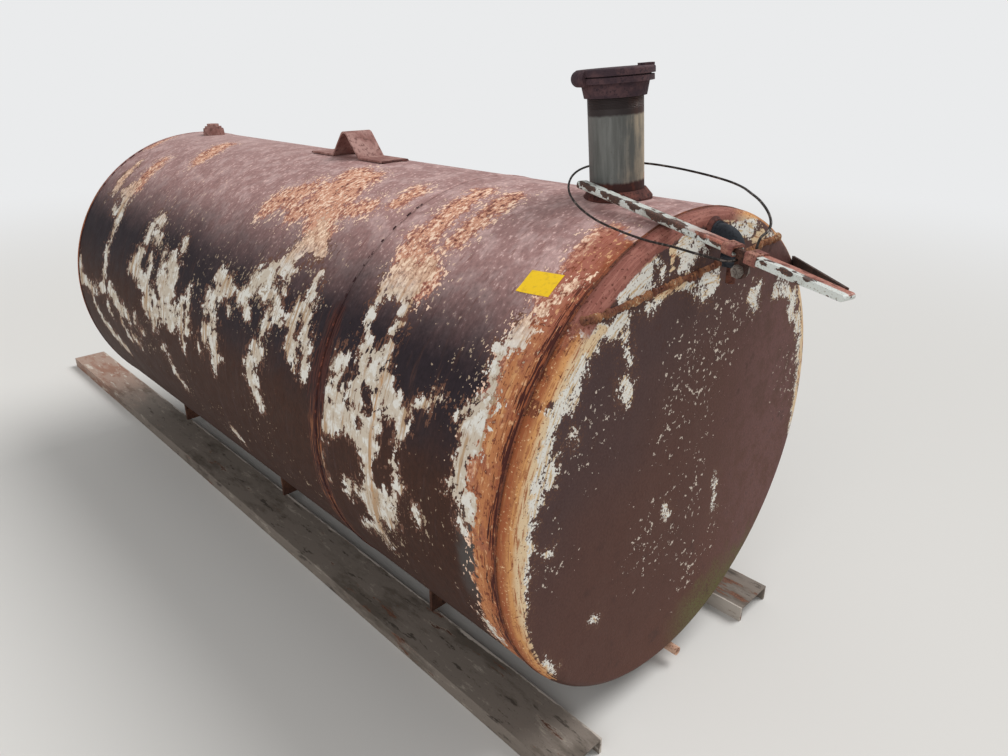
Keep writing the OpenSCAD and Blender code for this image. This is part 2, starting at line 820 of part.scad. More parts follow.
shell_rear_course();
shell_front_course();
rear_long_seam();
front_long_seam();
mid_seam_weld();
front_seam_weld();
rear_seam_weld();
front_head_lower();
front_head_top();
head_chord_weld();
rear_head();
standpipe();
standpipe_weld();
cap_collar();
cap_ring();
cap_lid();
lifting_lug();
lug_welds();
rear_coupling();
rear_plug();
elbow();
elbow_weld();
elbow_bush();
drop_nipple();
left_arm();
left_clamp();
hinge_link();
hinge_bolt();
right_clamp();
right_arm();
arm_tip();
arm_stay();
wire_loop();
saddle_front();
saddle_mid();
saddle_rear();
skid_left();
skid_right();
drain_elbow();
drain_pipe();
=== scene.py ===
"""Looks of a horizontal steel storage tank on two skids: flaking paint, rust, welds and old fittings.

Metres, +Z up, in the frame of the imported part. Stations along the tank are counted backwards from
the face of the front head, and angles round it from the top, positive towards the left flank (-Y).
"""

import math

import bpy
import numpy as np
from mathutils import Euler, Matrix, Vector, noise


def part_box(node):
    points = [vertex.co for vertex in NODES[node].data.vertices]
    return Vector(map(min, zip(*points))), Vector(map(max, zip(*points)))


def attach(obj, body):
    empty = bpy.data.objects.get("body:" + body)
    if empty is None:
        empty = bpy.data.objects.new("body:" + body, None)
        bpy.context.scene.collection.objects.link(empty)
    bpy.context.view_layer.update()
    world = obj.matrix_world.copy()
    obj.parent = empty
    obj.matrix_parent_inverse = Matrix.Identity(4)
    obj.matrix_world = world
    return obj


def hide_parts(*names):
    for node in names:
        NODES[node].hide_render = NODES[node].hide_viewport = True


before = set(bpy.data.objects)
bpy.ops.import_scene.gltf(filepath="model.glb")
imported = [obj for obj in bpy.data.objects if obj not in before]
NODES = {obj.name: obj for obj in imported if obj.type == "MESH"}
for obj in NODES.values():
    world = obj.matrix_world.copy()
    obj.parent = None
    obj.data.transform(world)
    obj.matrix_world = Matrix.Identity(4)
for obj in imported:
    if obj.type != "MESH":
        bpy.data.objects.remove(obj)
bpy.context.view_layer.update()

# Driving places, from the frame
shell_low, shell_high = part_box("shell_front_course")
RADIUS = (shell_high.y - shell_low.y) / 2
AXIS_Z = (shell_high.z + shell_low.z) / 2
FACE_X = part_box("front_head_lower")[1].x
REAR_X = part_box("rear_head")[0].x
LENGTH = FACE_X - REAR_X
MIDDLE = Vector((FACE_X, 0, AXIS_Z))
MID_SEAM = FACE_X - sum(c.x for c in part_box("mid_seam_weld")) / 2
FRONT_SEAM = FACE_X - sum(c.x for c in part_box("front_seam_weld")) / 2
REAR_SEAM = FACE_X - sum(c.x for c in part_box("rear_seam_weld")) / 2
CHORD_Z = 0.482
CHORD_TILT = math.radians(4)

# Standpipe, as part.scad leans it
PIPE_X = 0.26
PIPE_H = 0.221
PIPE_LEAN = math.radians(4.5)
PIPE_TOWARDS = math.radians(226)
PIPE_PLACE = (Matrix.Translation(MIDDLE + Vector((-PIPE_X, 0, RADIUS)))
              @ Matrix.Rotation(PIPE_TOWARDS, 4, "Z") @ Matrix.Rotation(PIPE_LEAN, 4, "Y"))

# Bar, as part.scad lays it
BAR_START = Vector((-0.299, -0.084, RADIUS + 0.032))
BAR_TURN = Euler((0, math.radians(7), math.radians(-12.5)))


def linear(hex_colour):
    """An sRGB hex colour as linear RGBA."""
    parts = [int(hex_colour[i : i + 2], 16) / 255 for i in (1, 3, 5)]
    return [c / 12.92 if c <= 0.04045 else ((c + 0.055) / 1.055) ** 2.4 for c in parts] + [1.0]


def feed(tree, node, feeds):
    """Gives a node's sockets their values, or links them to nodes and outputs."""
    for key, value in feeds.items():
        if isinstance(key, int):
            entry = node.inputs[key]
        else:
            entry = next(i for i in node.inputs if i.enabled and i.name == key)
        if isinstance(value, bpy.types.Node):
            value = next(o for o in value.outputs if o.enabled)
        if isinstance(value, bpy.types.NodeSocket):
            tree.links.new(value, entry)
        else:
            entry.default_value = value


def add(tree, kind, feeds=None, **settings):
    """Adds a node with its settings and its feeds."""
    node = tree.nodes.new(kind)
    for option, value in settings.items():
        setattr(node, option, value)
    feed(tree, node, feeds or {})
    return node


# Camera, at the photograph's viewing angle
SENSOR = 36.0
LENS = 26.25
EYE = MIDDLE + Vector((0.82429, -1.42116, 0.90232))
RIGHT = Vector((0.695226, 0.718791, 0.000537))
UP = Vector((-0.284973, 0.274944, 0.918257))


def place_camera():
    data = bpy.data.cameras.new("camera")
    data.lens = LENS
    data.sensor_width = SENSOR
    data.clip_start = 0.01
    camera = bpy.data.objects.new("camera", data)
    bpy.context.scene.collection.objects.link(camera)
    back = RIGHT.cross(UP)
    turn = Matrix((RIGHT, UP, back)).transposed()
    camera.matrix_world = Matrix.Translation(EYE) @ turn.to_4x4()
    bpy.context.scene.camera = camera


place_camera()

# Shared pieces of material trees


def new_finish(name, metallic=0.0, specular=0.4):
    """A new material, its tree and its shader."""
    material = bpy.data.materials.new(name)
    material.use_nodes = True
    tree = material.node_tree
    tree.nodes.clear()
    shader = add(tree, "ShaderNodeBsdfPrincipled",
                 {"Metallic": metallic, "Specular IOR Level": specular})
    add(tree, "ShaderNodeOutputMaterial", {"Surface": shader})
    return material, tree, shader


def here(tree):
    """The point in the tank's frame, counted from the middle of the front face."""
    spot = add(tree, "ShaderNodeTexCoord").outputs["Object"]
    return add(tree, "ShaderNodeVectorMath", {0: spot, 1: MIDDLE}, operation="SUBTRACT")


def unroll(tree, spot):
    """The shell laid flat: (station, length round from the top, 0), its station, its angle from the
    top, and the same without a sign."""
    parts = add(tree, "ShaderNodeSeparateXYZ", {0: spot})
    station = add(tree, "ShaderNodeMath", {0: parts.outputs["X"], 1: -1.0}, operation="MULTIPLY")
    left = add(tree, "ShaderNodeMath", {0: parts.outputs["Y"], 1: -1.0}, operation="MULTIPLY")
    angle = add(tree, "ShaderNodeMath", {0: left, 1: parts.outputs["Z"]}, operation="ARCTAN2")
    arc = add(tree, "ShaderNodeMath", {0: angle, 1: RADIUS}, operation="MULTIPLY")
    flat = add(tree, "ShaderNodeCombineXYZ", {"X": station, "Y": arc})
    high = add(tree, "ShaderNodeMath", {0: angle}, operation="ABSOLUTE")
    return flat, station, angle, high


def cloudy(tree, spot, mm, detail=6.0, rough=0.6, stretch=(1, 1, 1), shift=0.0):
    """A fractal cloud from 0 to 1, its features that many millimetres across before they stretch."""
    scaled = add(tree, "ShaderNodeMapping", {
        "Vector": spot, "Location": (shift, shift * 0.7, shift * 1.3),
        "Scale": tuple(1.0 / s for s in stretch)})
    return add(tree, "ShaderNodeTexNoise", {
        "Vector": scaled, "Scale": 1000.0 / mm, "Detail": detail, "Roughness": rough})


def cut(tree, value, start, end):
    """0 before start and 1 past end, so that a cloud turns into patches with edges. A list is the
    sum of its values, each alone or with its weight."""
    if isinstance(value, list):
        value = sum_of(tree, *value)
    low, high, a, b = (start, end, 0.0, 1.0) if start < end else (end, start, 1.0, 0.0)
    return add(tree, "ShaderNodeMapRange", {
        "Value": value, "From Min": low, "From Max": high, "To Min": a, "To Max": b},
        interpolation_type="SMOOTHSTEP")


def sum_of(tree, *weighted):
    """The sum of values, each alone or with its weight."""
    total = 0.0
    for entry in weighted:
        value, weight = entry if isinstance(entry, tuple) else (entry, 1.0)
        total = add(tree, "ShaderNodeMath", {0: value, 1: weight, 2: total},
                    operation="MULTIPLY_ADD")
    return total


def gap_from(tree, value, place):
    """How far a value is from a place, either way."""
    gap = add(tree, "ShaderNodeMath", {0: value, 1: place}, operation="SUBTRACT")
    return add(tree, "ShaderNodeMath", {0: gap}, operation="ABSOLUTE")


def both(tree, *masks):
    """Where all the masks are."""
    product = masks[0]
    for mask in masks[1:]:
        product = add(tree, "ShaderNodeMath", {0: product, 1: mask}, operation="MULTIPLY")
    return product


def layers(tree, base, *coats):
    """Lays coats of colour over each other, each as (mask, hex colour or node), or with the mask
    as a value and where it starts and ends."""
    colour = linear(base) if isinstance(base, str) else base
    for *where, over in coats:
        mask = cut(tree, *where) if len(where) > 1 else where[0]
        over = linear(over) if isinstance(over, str) else over
        colour = add(tree, "ShaderNodeMix", {"Factor": mask, "A": colour, "B": over},
                     data_type="RGBA")
    return colour


def relief(tree, *heights):
    """A normal from heights in millimetres, each as (value, millimetres)."""
    height = sum_of(tree, *heights)
    return add(tree, "ShaderNodeBump", {"Height": height, "Strength": 1.0, "Distance": 0.001})


# Places of the paint

# A stroke is its half width in millimetres and the points that it runs through. On the shell a
# point is (station, degrees from the top), on the left flank where the photograph shows it.
SHELL_CREAM = [
    (34, (0.56, 42), (0.49, 42)), (30, (0.56, 46), (0.49, 46)), (9, (0.478, 50), (0.475, 63)),
    (6, (0.59, 47), (0.58, 56), (0.55, 60)), (36, (0.53, 66), (0.47, 68)), (12, (0.56, 62), (0.50, 62)),
    (34, (0.54, 72), (0.47, 76)), (38, (0.53, 80), (0.475, 82)), (24, (0.46, 68), (0.41, 71)),
    (17, (0.40, 71.5), (0.365, 72.5)), (4, (0.35, 70), (0.31, 68), (0.27, 65.5)),
    (9, (0.36, 74), (0.37, 77)), (30, (0.58, 79), (0.65, 80)), (17, (0.67, 84), (0.64, 83)),
    (14, (0.66, 75), (0.61, 75)), (2.5, (0.66, 66), (0.655, 75)), (2.5, (0.635, 65), (0.63, 76)),
    (3, (0.61, 66), (0.60, 75)), (14, (0.48, 85), (0.475, 92)), (26, (0.48, 93), (0.475, 98)),
    (28, (0.44, 94), (0.42, 97)), (12, (0.40, 92), (0.395, 99)), (8, (0.52, 96), (0.575, 95)),
    (8, (0.57, 95), (0.585, 99)), (17, (0.485, 98), (0.48, 104)), (9, (0.50, 105), (0.55, 108)),
    (8, (0.47, 104), (0.458, 108)), (9, (0.375, 83), (0.35, 88)), (5, (0.375, 90), (0.375, 95)),
    (5, (0.30, 90), (0.28, 93)), (22, (0.99, 38), (0.95, 44)), (22, (0.94, 41), (0.90, 45)),
    (20, (1.0, 43), (1.02, 48)), (24, (1.02, 51), (1.08, 53)), (27, (1.07, 55), (1.13, 57.5)),
    (12, (1.13, 60), (1.19, 63)), (12, (1.15, 64), (1.12, 67)), (14, (1.07, 60), (1.03, 60)),
    (11, (0.98, 52), (0.97, 57)), (10, (1.0, 60), (1.01, 70)), (9, (0.97, 62), (0.94, 66)),
    (9, (0.855, 51), (0.84, 56)), (15, (0.88, 60), (0.83, 60)), (20, (0.89, 64), (0.85, 69)),
    (10, (0.82, 62), (0.80, 68)), (13, (0.79, 68), (0.775, 74)), (7, (0.87, 71), (0.83, 72)),
    (24, (1.04, 75), (1.02, 76)), (22, (1.07, 79), (1.06, 82)), (17, (1.04, 84), (1.02, 87)),
    (5, (1.01, 88), (0.995, 90)), (16, (1.35, 60), (1.29, 62)), (15, (1.27, 62), (1.25, 63)),
    (11, (1.335, 62), (1.33, 76)), (10, (1.38, 66), (1.37, 72)), (13, (1.30, 64), (1.30, 66)),
    (16, (1.30, 74), (1.29, 80)), (13, (1.37, 76), (1.36, 80)), (15, (1.32, 80), (1.27, 83)),
    (7, (1.29, 84), (1.30, 87)), (6, (1.41, 82), (1.40, 84)), (8, (1.22, 68), (1.24, 67)),
    (13, (1.55, 72), (1.54, 80)), (9, (1.53, 82), (1.53, 87)), (13, (1.50, 73), (1.49, 80)),
    (7, (1.58, 76), (1.58, 80)), (6, (1.52, 68), (1.50, 70)), (10, (1.66, 54), (1.64, 57)),
    (34, (1.69, 63), (1.65, 66)), (36, (1.73, 70), (1.66, 72)), (12, (1.77, 61), (1.76, 64)),
    (26, (1.66, 78), (1.63, 81)), (24, (1.72, 77), (1.70, 80)), (12, (1.61, 76), (1.60, 79)),
    (16, (1.94, 51), (1.88, 52)), (20, (1.95, 55), (1.94, 58)), (14, (1.88, 56), (1.85, 58)),
    (30, (1.96, 64), (1.97, 70)), (16, (2.01, 68), (2.03, 70)), (24, (1.92, 72), (1.86, 73)),
    (12, (1.86, 64), (1.85, 70)), (26, (1.84, 77), (1.81, 80)), (20, (1.86, 80), (1.79, 81)),
    (24, (1.79, 76), (1.76, 81)), (13, (1.79, 83), (1.785, 86)), (24, (2.46, 38), (2.46, 46)),
    (9, (2.47, 33), (2.47, 37)), (28, (2.31, 42), (2.30, 50)), (14, (2.34, 46), (2.38, 46)),
    (10, (2.37, 53), (2.34, 54)), (19, (2.28, 50), (2.27, 58)), (14, (2.28, 68), (2.29, 80)),
    (8, (2.27, 62), (2.28, 66)), (15, (2.30, 83), (2.34, 84)), (21, (2.22, 82), (2.16, 86)),
    (23, (2.18, 84), (2.10, 88)), (10, (2.08, 86), (2.04, 88)), (7, (2.38, 84), (2.41, 84)),
    (8, (2.27, 88), (2.25, 92)), (26, (2.60, 78), (2.57, 84)), (16, (2.54, 84), (2.46, 86)),
    (6, (2.45, 87), (2.42, 87)), (9, (2.45, 92), (2.40, 97)), (20, (2.39, 98), (2.30, 103)),
    (18, (2.30, 103), (2.22, 106)), (7, (2.14, 92), (2.08, 98)), (8, (2.05, 95), (1.98, 98)),
    (5, (1.97, 86), (1.97, 89)), (5, (1.93, 91), (1.91, 91)), (6, (1.68, 95), (1.67, 99)),
    (7, (1.66, 100), (1.62, 103)), (14, (1.30, 109), (1.28, 112)), (5, (1.73, 91), (1.71, 92)),
    (7, (0.69, 86), (0.685, 98)),
]
# Scabs of the maroon coat that still stick inside the cream
SHELL_BARE = [
    (14, (0.52, 70), (0.50, 73)), (13, (0.49, 72), (0.485, 75)), (15, (0.523, 78), (0.52, 79)),
    (22, (0.41, 77), (0.41, 84)), (12, (0.40, 88), (0.39, 90)), (30, (0.62, 88), (0.54, 88)),
    (24, (0.57, 92), (0.62, 93)), (12, (0.52, 93), (0.50, 91)), (16, (0.445, 86), (0.44, 90)),
    (40, (0.53, 53), (0.53, 56)), (8, (0.525, 64), (0.52, 65)), (34, (0.30, 76), (0.25, 84)),
    (30, (0.40, 60), (0.24, 59)), (16, (1.08, 65), (1.06, 68)), (14, (0.96, 53), (0.92, 55)),
    (14, (0.97, 68), (0.96, 72)), (60, (0.90, 78), (0.88, 84)), (8, (1.045, 52), (1.05, 53)),
    (11, (0.90, 66), (0.905, 69)), (9, (1.36, 62), (1.36, 64)), (10, (1.35, 72), (1.36, 73)),
    (8, (1.31, 68), (1.315, 71)), (30, (1.57, 60), (1.56, 66)), (12, (1.52, 74), (1.52, 79)),
    (14, (1.80, 62), (1.81, 72)), (14, (1.90, 66), (1.89, 69)), (10, (1.87, 61), (1.90, 62)),
    (9, (1.79, 77), (1.79, 79)), (12, (2.12, 84), (2.10, 83)), (18, (0.505, 103), (0.54, 102)),
    (12, (0.94, 49), (0.92, 48)),
]
# Where the sun has burnt the coats down to orange primer and rust
SHELL_ORANGE = [
    (24, (1.13, 14), (1.10, 24)), (28, (1.05, 16), (1.03, 26)), (34, (1.12, 24), (1.08, 30)),
    (22, (1.02, 26), (1.0, 34)), (12, (1.13, 32), (1.15, 36)), (10, (0.93, 30), (0.88, 28)),
    (14, (1.07, 32), (1.02, 38)), (16, (1.30, 32), (1.24, 28)), (10, (1.22, 24), (1.21, 32)),
    (12, (1.28, 34), (1.30, 37)), (22, (2.10, 12), (2.07, 18)), (16, (2.06, 18), (2.04, 24)),
    (14, (2.30, 30), (2.28, 42)), (8, (0.59, 12), (0.58, 22)), (14, (0.58, 22), (0.57, 32)),
    (12, (0.60, 34), (0.58, 40)), (8, (0.48, 12), (0.47, 24)), (5, (0.47, 24), (0.47, 32)),
    (20, (0.55, 38), (0.50, 42)), (5, (0.462, 42), (0.462, 46)), (12, (0.98, 36), (0.95, 40)),
    (8, (0.79, 18), (0.79, 24)), (18, (2.64, 12), (2.6, 20)), (26, (0.35, -14), (0.30, -12)),
    (34, (1.9, -20), (1.8, -16)),
]
# Along the front rim, alike on both flanks
RIM_CREAM = [
    (9, (0.118, 39), (0.122, 50)), (10, (0.14, 45), (0.135, 49)), (8, (0.155, 52), (0.14, 55)),
    (14, (0.14, 57), (0.13, 61)), (24, (0.15, 64), (0.14, 70)), (6, (0.17, 65), (0.20, 66)),
    (20, (0.155, 70), (0.155, 79)), (16, (0.12, 81), (0.115, 84)), (8, (0.165, 81), (0.185, 80)),
    (5, (0.145, 86), (0.14, 88)), (7, (0.10, 38), (0.075, 32)), (10, (0.12, 112), (0.09, 118)),
]
RIM_ORANGE = [
    (20, (0.12, 21), (0.10, 28)), (50, (0.07, 28), (0.07, 38)), (52, (0.065, 40), (0.06, 50)),
    (60, (0.07, 52), (0.06, 62)), (56, (0.08, 63), (0.07, 78)), (24, (0.06, 80), (0.055, 88)),
    (11, (0.055, 88), (0.055, 98)), (15, (0.06, 99), (0.06, 110)), (24, (0.065, 112), (0.065, 128)),
    (20, (0.05, 126), (0.03, 140)),
]
# Where small chips are frequent
SHELL_CHIPS = [
    (110, (1.95, 32), (1.85, 44)), (90, (1.7, 34), (1.7, 44)), (50, (2.1, 36), (2.1, 40)),
    (90, (1.25, 34), (1.0, 34)), (70, (1.0, 60), (0.85, 56)), (50, (0.8, 22), (0.78, 40)),
    (50, (0.6, 30), (0.5, 34)), (80, (1.2, 58), (1.0, 64)), (60, (1.05, 98), (1.0, 108)),
    (40, (1.10, 96), (1.12, 102)), (50, (0.45, 100), (0.42, 116)), (60, (1.7, 56), (1.75, 60)),
    (60, (0.30, 50), (0.2, 58)), (40, (0.26, 92), (0.24, 98)), (80, (1.45, 60), (1.4, 56)),
    (60, (1.5, 104), (1.4, 110)), (50, (1.95, 94), (1.85, 92)), (60, (0.95, 104), (0.85, 112)),
]
# On the front head a point is (right of the middle, above the middle)
HEAD_CREAM = [
    (16, (-0.39, 0.405), (-0.43, 0.37)), (18, (-0.43, 0.37), (-0.49, 0.29)),
    (20, (-0.50, 0.29), (-0.53, 0.21)), (10, (-0.50, 0.20), (-0.50, 0.145)),
    (18, (-0.535, 0.21), (-0.55, 0.12)), (12, (-0.55, 0.12), (-0.565, 0.02)),
    (9, (-0.565, 0.02), (-0.57, -0.08)), (4, (-0.57, -0.08), (-0.565, -0.2)),
    (4, (-0.50, -0.31), (-0.46, -0.37)), (17, (-0.30, 0.435), (-0.335, 0.42)),
    (13, (-0.36, 0.43), (-0.41, 0.425)), (9, (-0.215, 0.44), (-0.18, 0.452)),
    (7, (-0.43, 0.34), (-0.44, 0.30)), (17, (0.0, 0.47), (0.03, 0.455)),
    (16, (0.03, 0.44), (0.015, 0.425)), (7, (-0.03, 0.44), (-0.01, 0.43)),
    (8, (-0.06, 0.46), (-0.11, 0.472)), (17, (-0.277, 0.288), (-0.27, 0.262)),
    (13, (0.22, 0.38), (0.25, 0.345)), (7, (0.25, 0.39), (0.22, 0.36)), (8, (0.34, 0.36), (0.36, 0.35)),
    (8, (0.36, 0.38), (0.40, 0.36)), (10, (0.41, 0.35), (0.44, 0.33)),
    (12, (0.46, 0.33), (0.455, 0.27)), (13, (0.50, 0.26), (0.52, 0.21)),
    (10, (0.54, 0.20), (0.56, 0.12)), (8, (0.57, 0.10), (0.58, 0.0)), (7, (0.58, 0.0), (0.58, -0.12)),
    (2.4, (-0.29, 0.40), (-0.26, 0.33)), (1.6, (0.155, -0.10), (0.17, -0.22)),
    (4, (-0.335, -0.29), (-0.32, -0.30)), (2, (-0.50, -0.02), (-0.49, -0.02)),
    (3, (-0.44, 0.225), (-0.43, 0.22)), (4, (-0.08, -0.10), (-0.06, -0.13)),
]
HEAD_ORANGE = [
    (14, (-0.43, 0.41), (-0.50, 0.33)), (20, (-0.53, 0.28), (-0.57, 0.18)),
    (27, (-0.58, 0.15), (-0.595, 0.0)), (24, (-0.595, 0.0), (-0.59, -0.15)),
    (19, (-0.585, -0.15), (-0.555, -0.27)), (9, (-0.55, -0.27), (-0.51, -0.33)),
    (8, (-0.50, -0.35), (-0.47, -0.385)), (10, (0.485, 0.36), (0.51, 0.28)),
    (10, (0.54, 0.25), (0.575, 0.12)), (9, (0.58, 0.10), (0.59, -0.08)),
    (8, (-0.2, 0.46), (-0.1, 0.47)), (10, (-0.36, 0.43), (-0.40, 0.41)),
]
TOP_CREAM = [
    (20, (-0.30, 0.495), (-0.24, 0.52)), (24, (-0.25, 0.49), (-0.235, 0.53)),
    (8, (-0.23, 0.54), (-0.215, 0.56)), (9, (-0.40, 0.46), (-0.38, 0.462)),
    (10, (-0.30, 0.47), (-0.22, 0.478)), (8, (-0.175, 0.51), (-0.175, 0.50)),
    (22, (-0.105, 0.55), (-0.085, 0.525)), (13, (-0.09, 0.51), (-0.08, 0.505)),
    (12, (-0.06, 0.545), (-0.01, 0.54)), (17, (0.13, 0.545), (0.18, 0.55)),
    (11, (0.10, 0.565), (0.16, 0.565)), (24, (0.29, 0.485), (0.35, 0.46)),
    (14, (0.37, 0.445), (0.41, 0.43)), (9, (0.27, 0.51), (0.32, 0.50)),
]
TOP_ORANGE = [
    (10, (-0.44, 0.455), (-0.37, 0.50)), (8, (-0.34, 0.52), (-0.24, 0.565)),
    (6, (-0.15, 0.56), (-0.14, 0.52)), (6, (0.06, 0.585), (0.20, 0.575)),
    (8, (0.30, 0.52), (0.40, 0.46)), (10, (0.20, 0.52), (0.24, 0.52)),
]
HEAD_CHIPS = [
    (60, (0.08, 0.34), (0.05, 0.2)), (50, (-0.05, 0.32), (-0.08, 0.1)), (30, (0.0, 0.2), (0.03, 0.15)),
    (26, (-0.15, -0.08), (-0.17, -0.2)), (34, (0.05, -0.05), (0.05, -0.15)),
    (22, (-0.07, -0.09), (-0.06, -0.15)), (30, (-0.07, -0.15), (-0.06, -0.24)),
    (40, (0.02, -0.32), (0.07, -0.38)), (24, (-0.12, -0.24), (-0.13, -0.26)),
    (25, (0.18, -0.28), (0.17, -0.33)), (24, (-0.33, 0.21), (-0.34, 0.24)),
    (24, (-0.42, 0.23), (-0.38, 0.25)), (30, (0.04, -0.02), (0.06, 0.03)),
    (40, (0.50, 0.12), (0.53, 0.05)), (30, (-0.42, 0.15), (-0.47, 0.16)),
    (40, (0.1, 0.36), (0.2, 0.34)), (24, (-0.49, -0.03), (-0.48, -0.08)),
    (30, (0.06, 0.24), (0.12, 0.25)),
]


def outside(flat, strokes):
    """How far points lie outside the nearest of some strokes, in metres, less than 0 inside."""
    far = []
    for half, *ends in strokes:
        for start, end in zip(ends, ends[1:]):
            start, run = np.array(start), np.subtract(end, start)
            along = np.clip((flat - start) @ run / (run @ run), 0, 1)
            far.append(np.linalg.norm(flat - start - along[:, None] * run, axis=1) - half / 1000)
    far = np.array(far)
    nearest = far.min(axis=0)
    # Strokes nearer to each other than about 1/120 m run together
    merge = 120
    return nearest - np.log(np.exp(merge * (nearest - far)).sum(axis=0)) / merge


def coats(*far):
    """Distances in decimetres as a vector attribute, cut off where they no longer matter."""
    return np.stack([np.clip(f, -0.014, 0.12) * 10 for f in far], axis=1)


def shell_coats(points):
    station = -points[:, 0]
    angle = np.arctan2(-points[:, 1], points[:, 2])
    # The right flank repeats the left one, turned end for end
    right = angle < math.radians(-30)
    station = np.where(right, LENGTH - station, station)
    arc = np.where(right, -angle, angle) * RADIUS
    flat = np.stack([station, arc], axis=1)
    by_rim = np.stack([-points[:, 0], arc], axis=1)
    cream, bare, orange, chips, rim_cream, rim_orange = (
        outside(spots, [(half, *((s, math.radians(a) * RADIUS) for s, a in ends))
                        for half, *ends in strokes])
        for spots, strokes in ((flat, SHELL_CREAM), (flat, SHELL_BARE), (flat, SHELL_ORANGE),
                               (flat, SHELL_CHIPS), (by_rim, RIM_CREAM), (by_rim, RIM_ORANGE)))
    cream = np.maximum(np.minimum(cream, rim_cream), -2 * bare)
    return coats(cream, np.minimum(orange, rim_orange), chips)


def head_coats(points):
    flat = points[:, 1:]
    above = points[:, 2] > CHORD_Z + points[:, 1] * math.tan(CHORD_TILT)
    cream, top_cream, orange, top_orange, chips = (outside(flat, strokes) for strokes in (
        HEAD_CREAM, TOP_CREAM, HEAD_ORANGE, TOP_ORANGE, HEAD_CHIPS))
    return coats(np.where(above, top_cream, cream), np.where(above, top_orange, orange), chips)


def rear_coats(points):
    """The rear head has the lower part of the front head's paint, as seen from its own side."""
    flat = points[:, 1:]
    return coats(*(outside(flat, strokes) for strokes in (HEAD_CREAM, HEAD_ORANGE, HEAD_CHIPS)))


# Paint


def attribute_parts(tree):
    """The distances that the skin's vertices carry: to the cream, to the orange, to the chips."""
    carried = add(tree, "ShaderNodeAttribute", attribute_name="coat").outputs["Vector"]
    return add(tree, "ShaderNodeSeparateXYZ", {0: carried}).outputs


def weathered(tree, high, wide, mottle, runs, comb, grain):
    """The maroon coat by the angle from the top: chalked pink on top and lighter there also as painted
    sunlight, then black brown down the flank as painted shade, then browner low down, partly as painted
    warm light bounced up from the ground.
    """
    # How far round from the top a point is sets the painted sunlight on top and the painted shade down
    # the flank, as well as the chalking
    sky = sum_of(tree, high, (wide, 0.28), (mottle, 0.22), (runs, 0.08))
    top = cut(tree, sky, 1.34, 0.80)
    low = cut(tree, sky, 1.40, 1.75)
    upper = layers(tree, "#a07d79", (mottle, 0.44, 0.62, "#b99a96"), (comb, 0.56, 0.74, "#8d655f"),
                   (grain, 0.61, 0.68, "#c2a49e"))
    flank = layers(tree, "#2b2227", (low, "#3e261d"), (runs, 0.56, 0.74, "#45302c"))
    streaked = layers(tree, flank, (top, upper))
    shade = add(tree, "ShaderNodeMapRange", {
        "Value": grain, "From Min": 0.25, "From Max": 0.75, "To Min": 0.74, "To Max": 1.26})
    base = add(tree, "ShaderNodeVectorMath", {0: streaked, "Scale": shade}, operation="SCALE")
    return base, top, low


# Station of the rusty run down the flank, in the cream patch before the middle seam
RUN_AT = 0.464


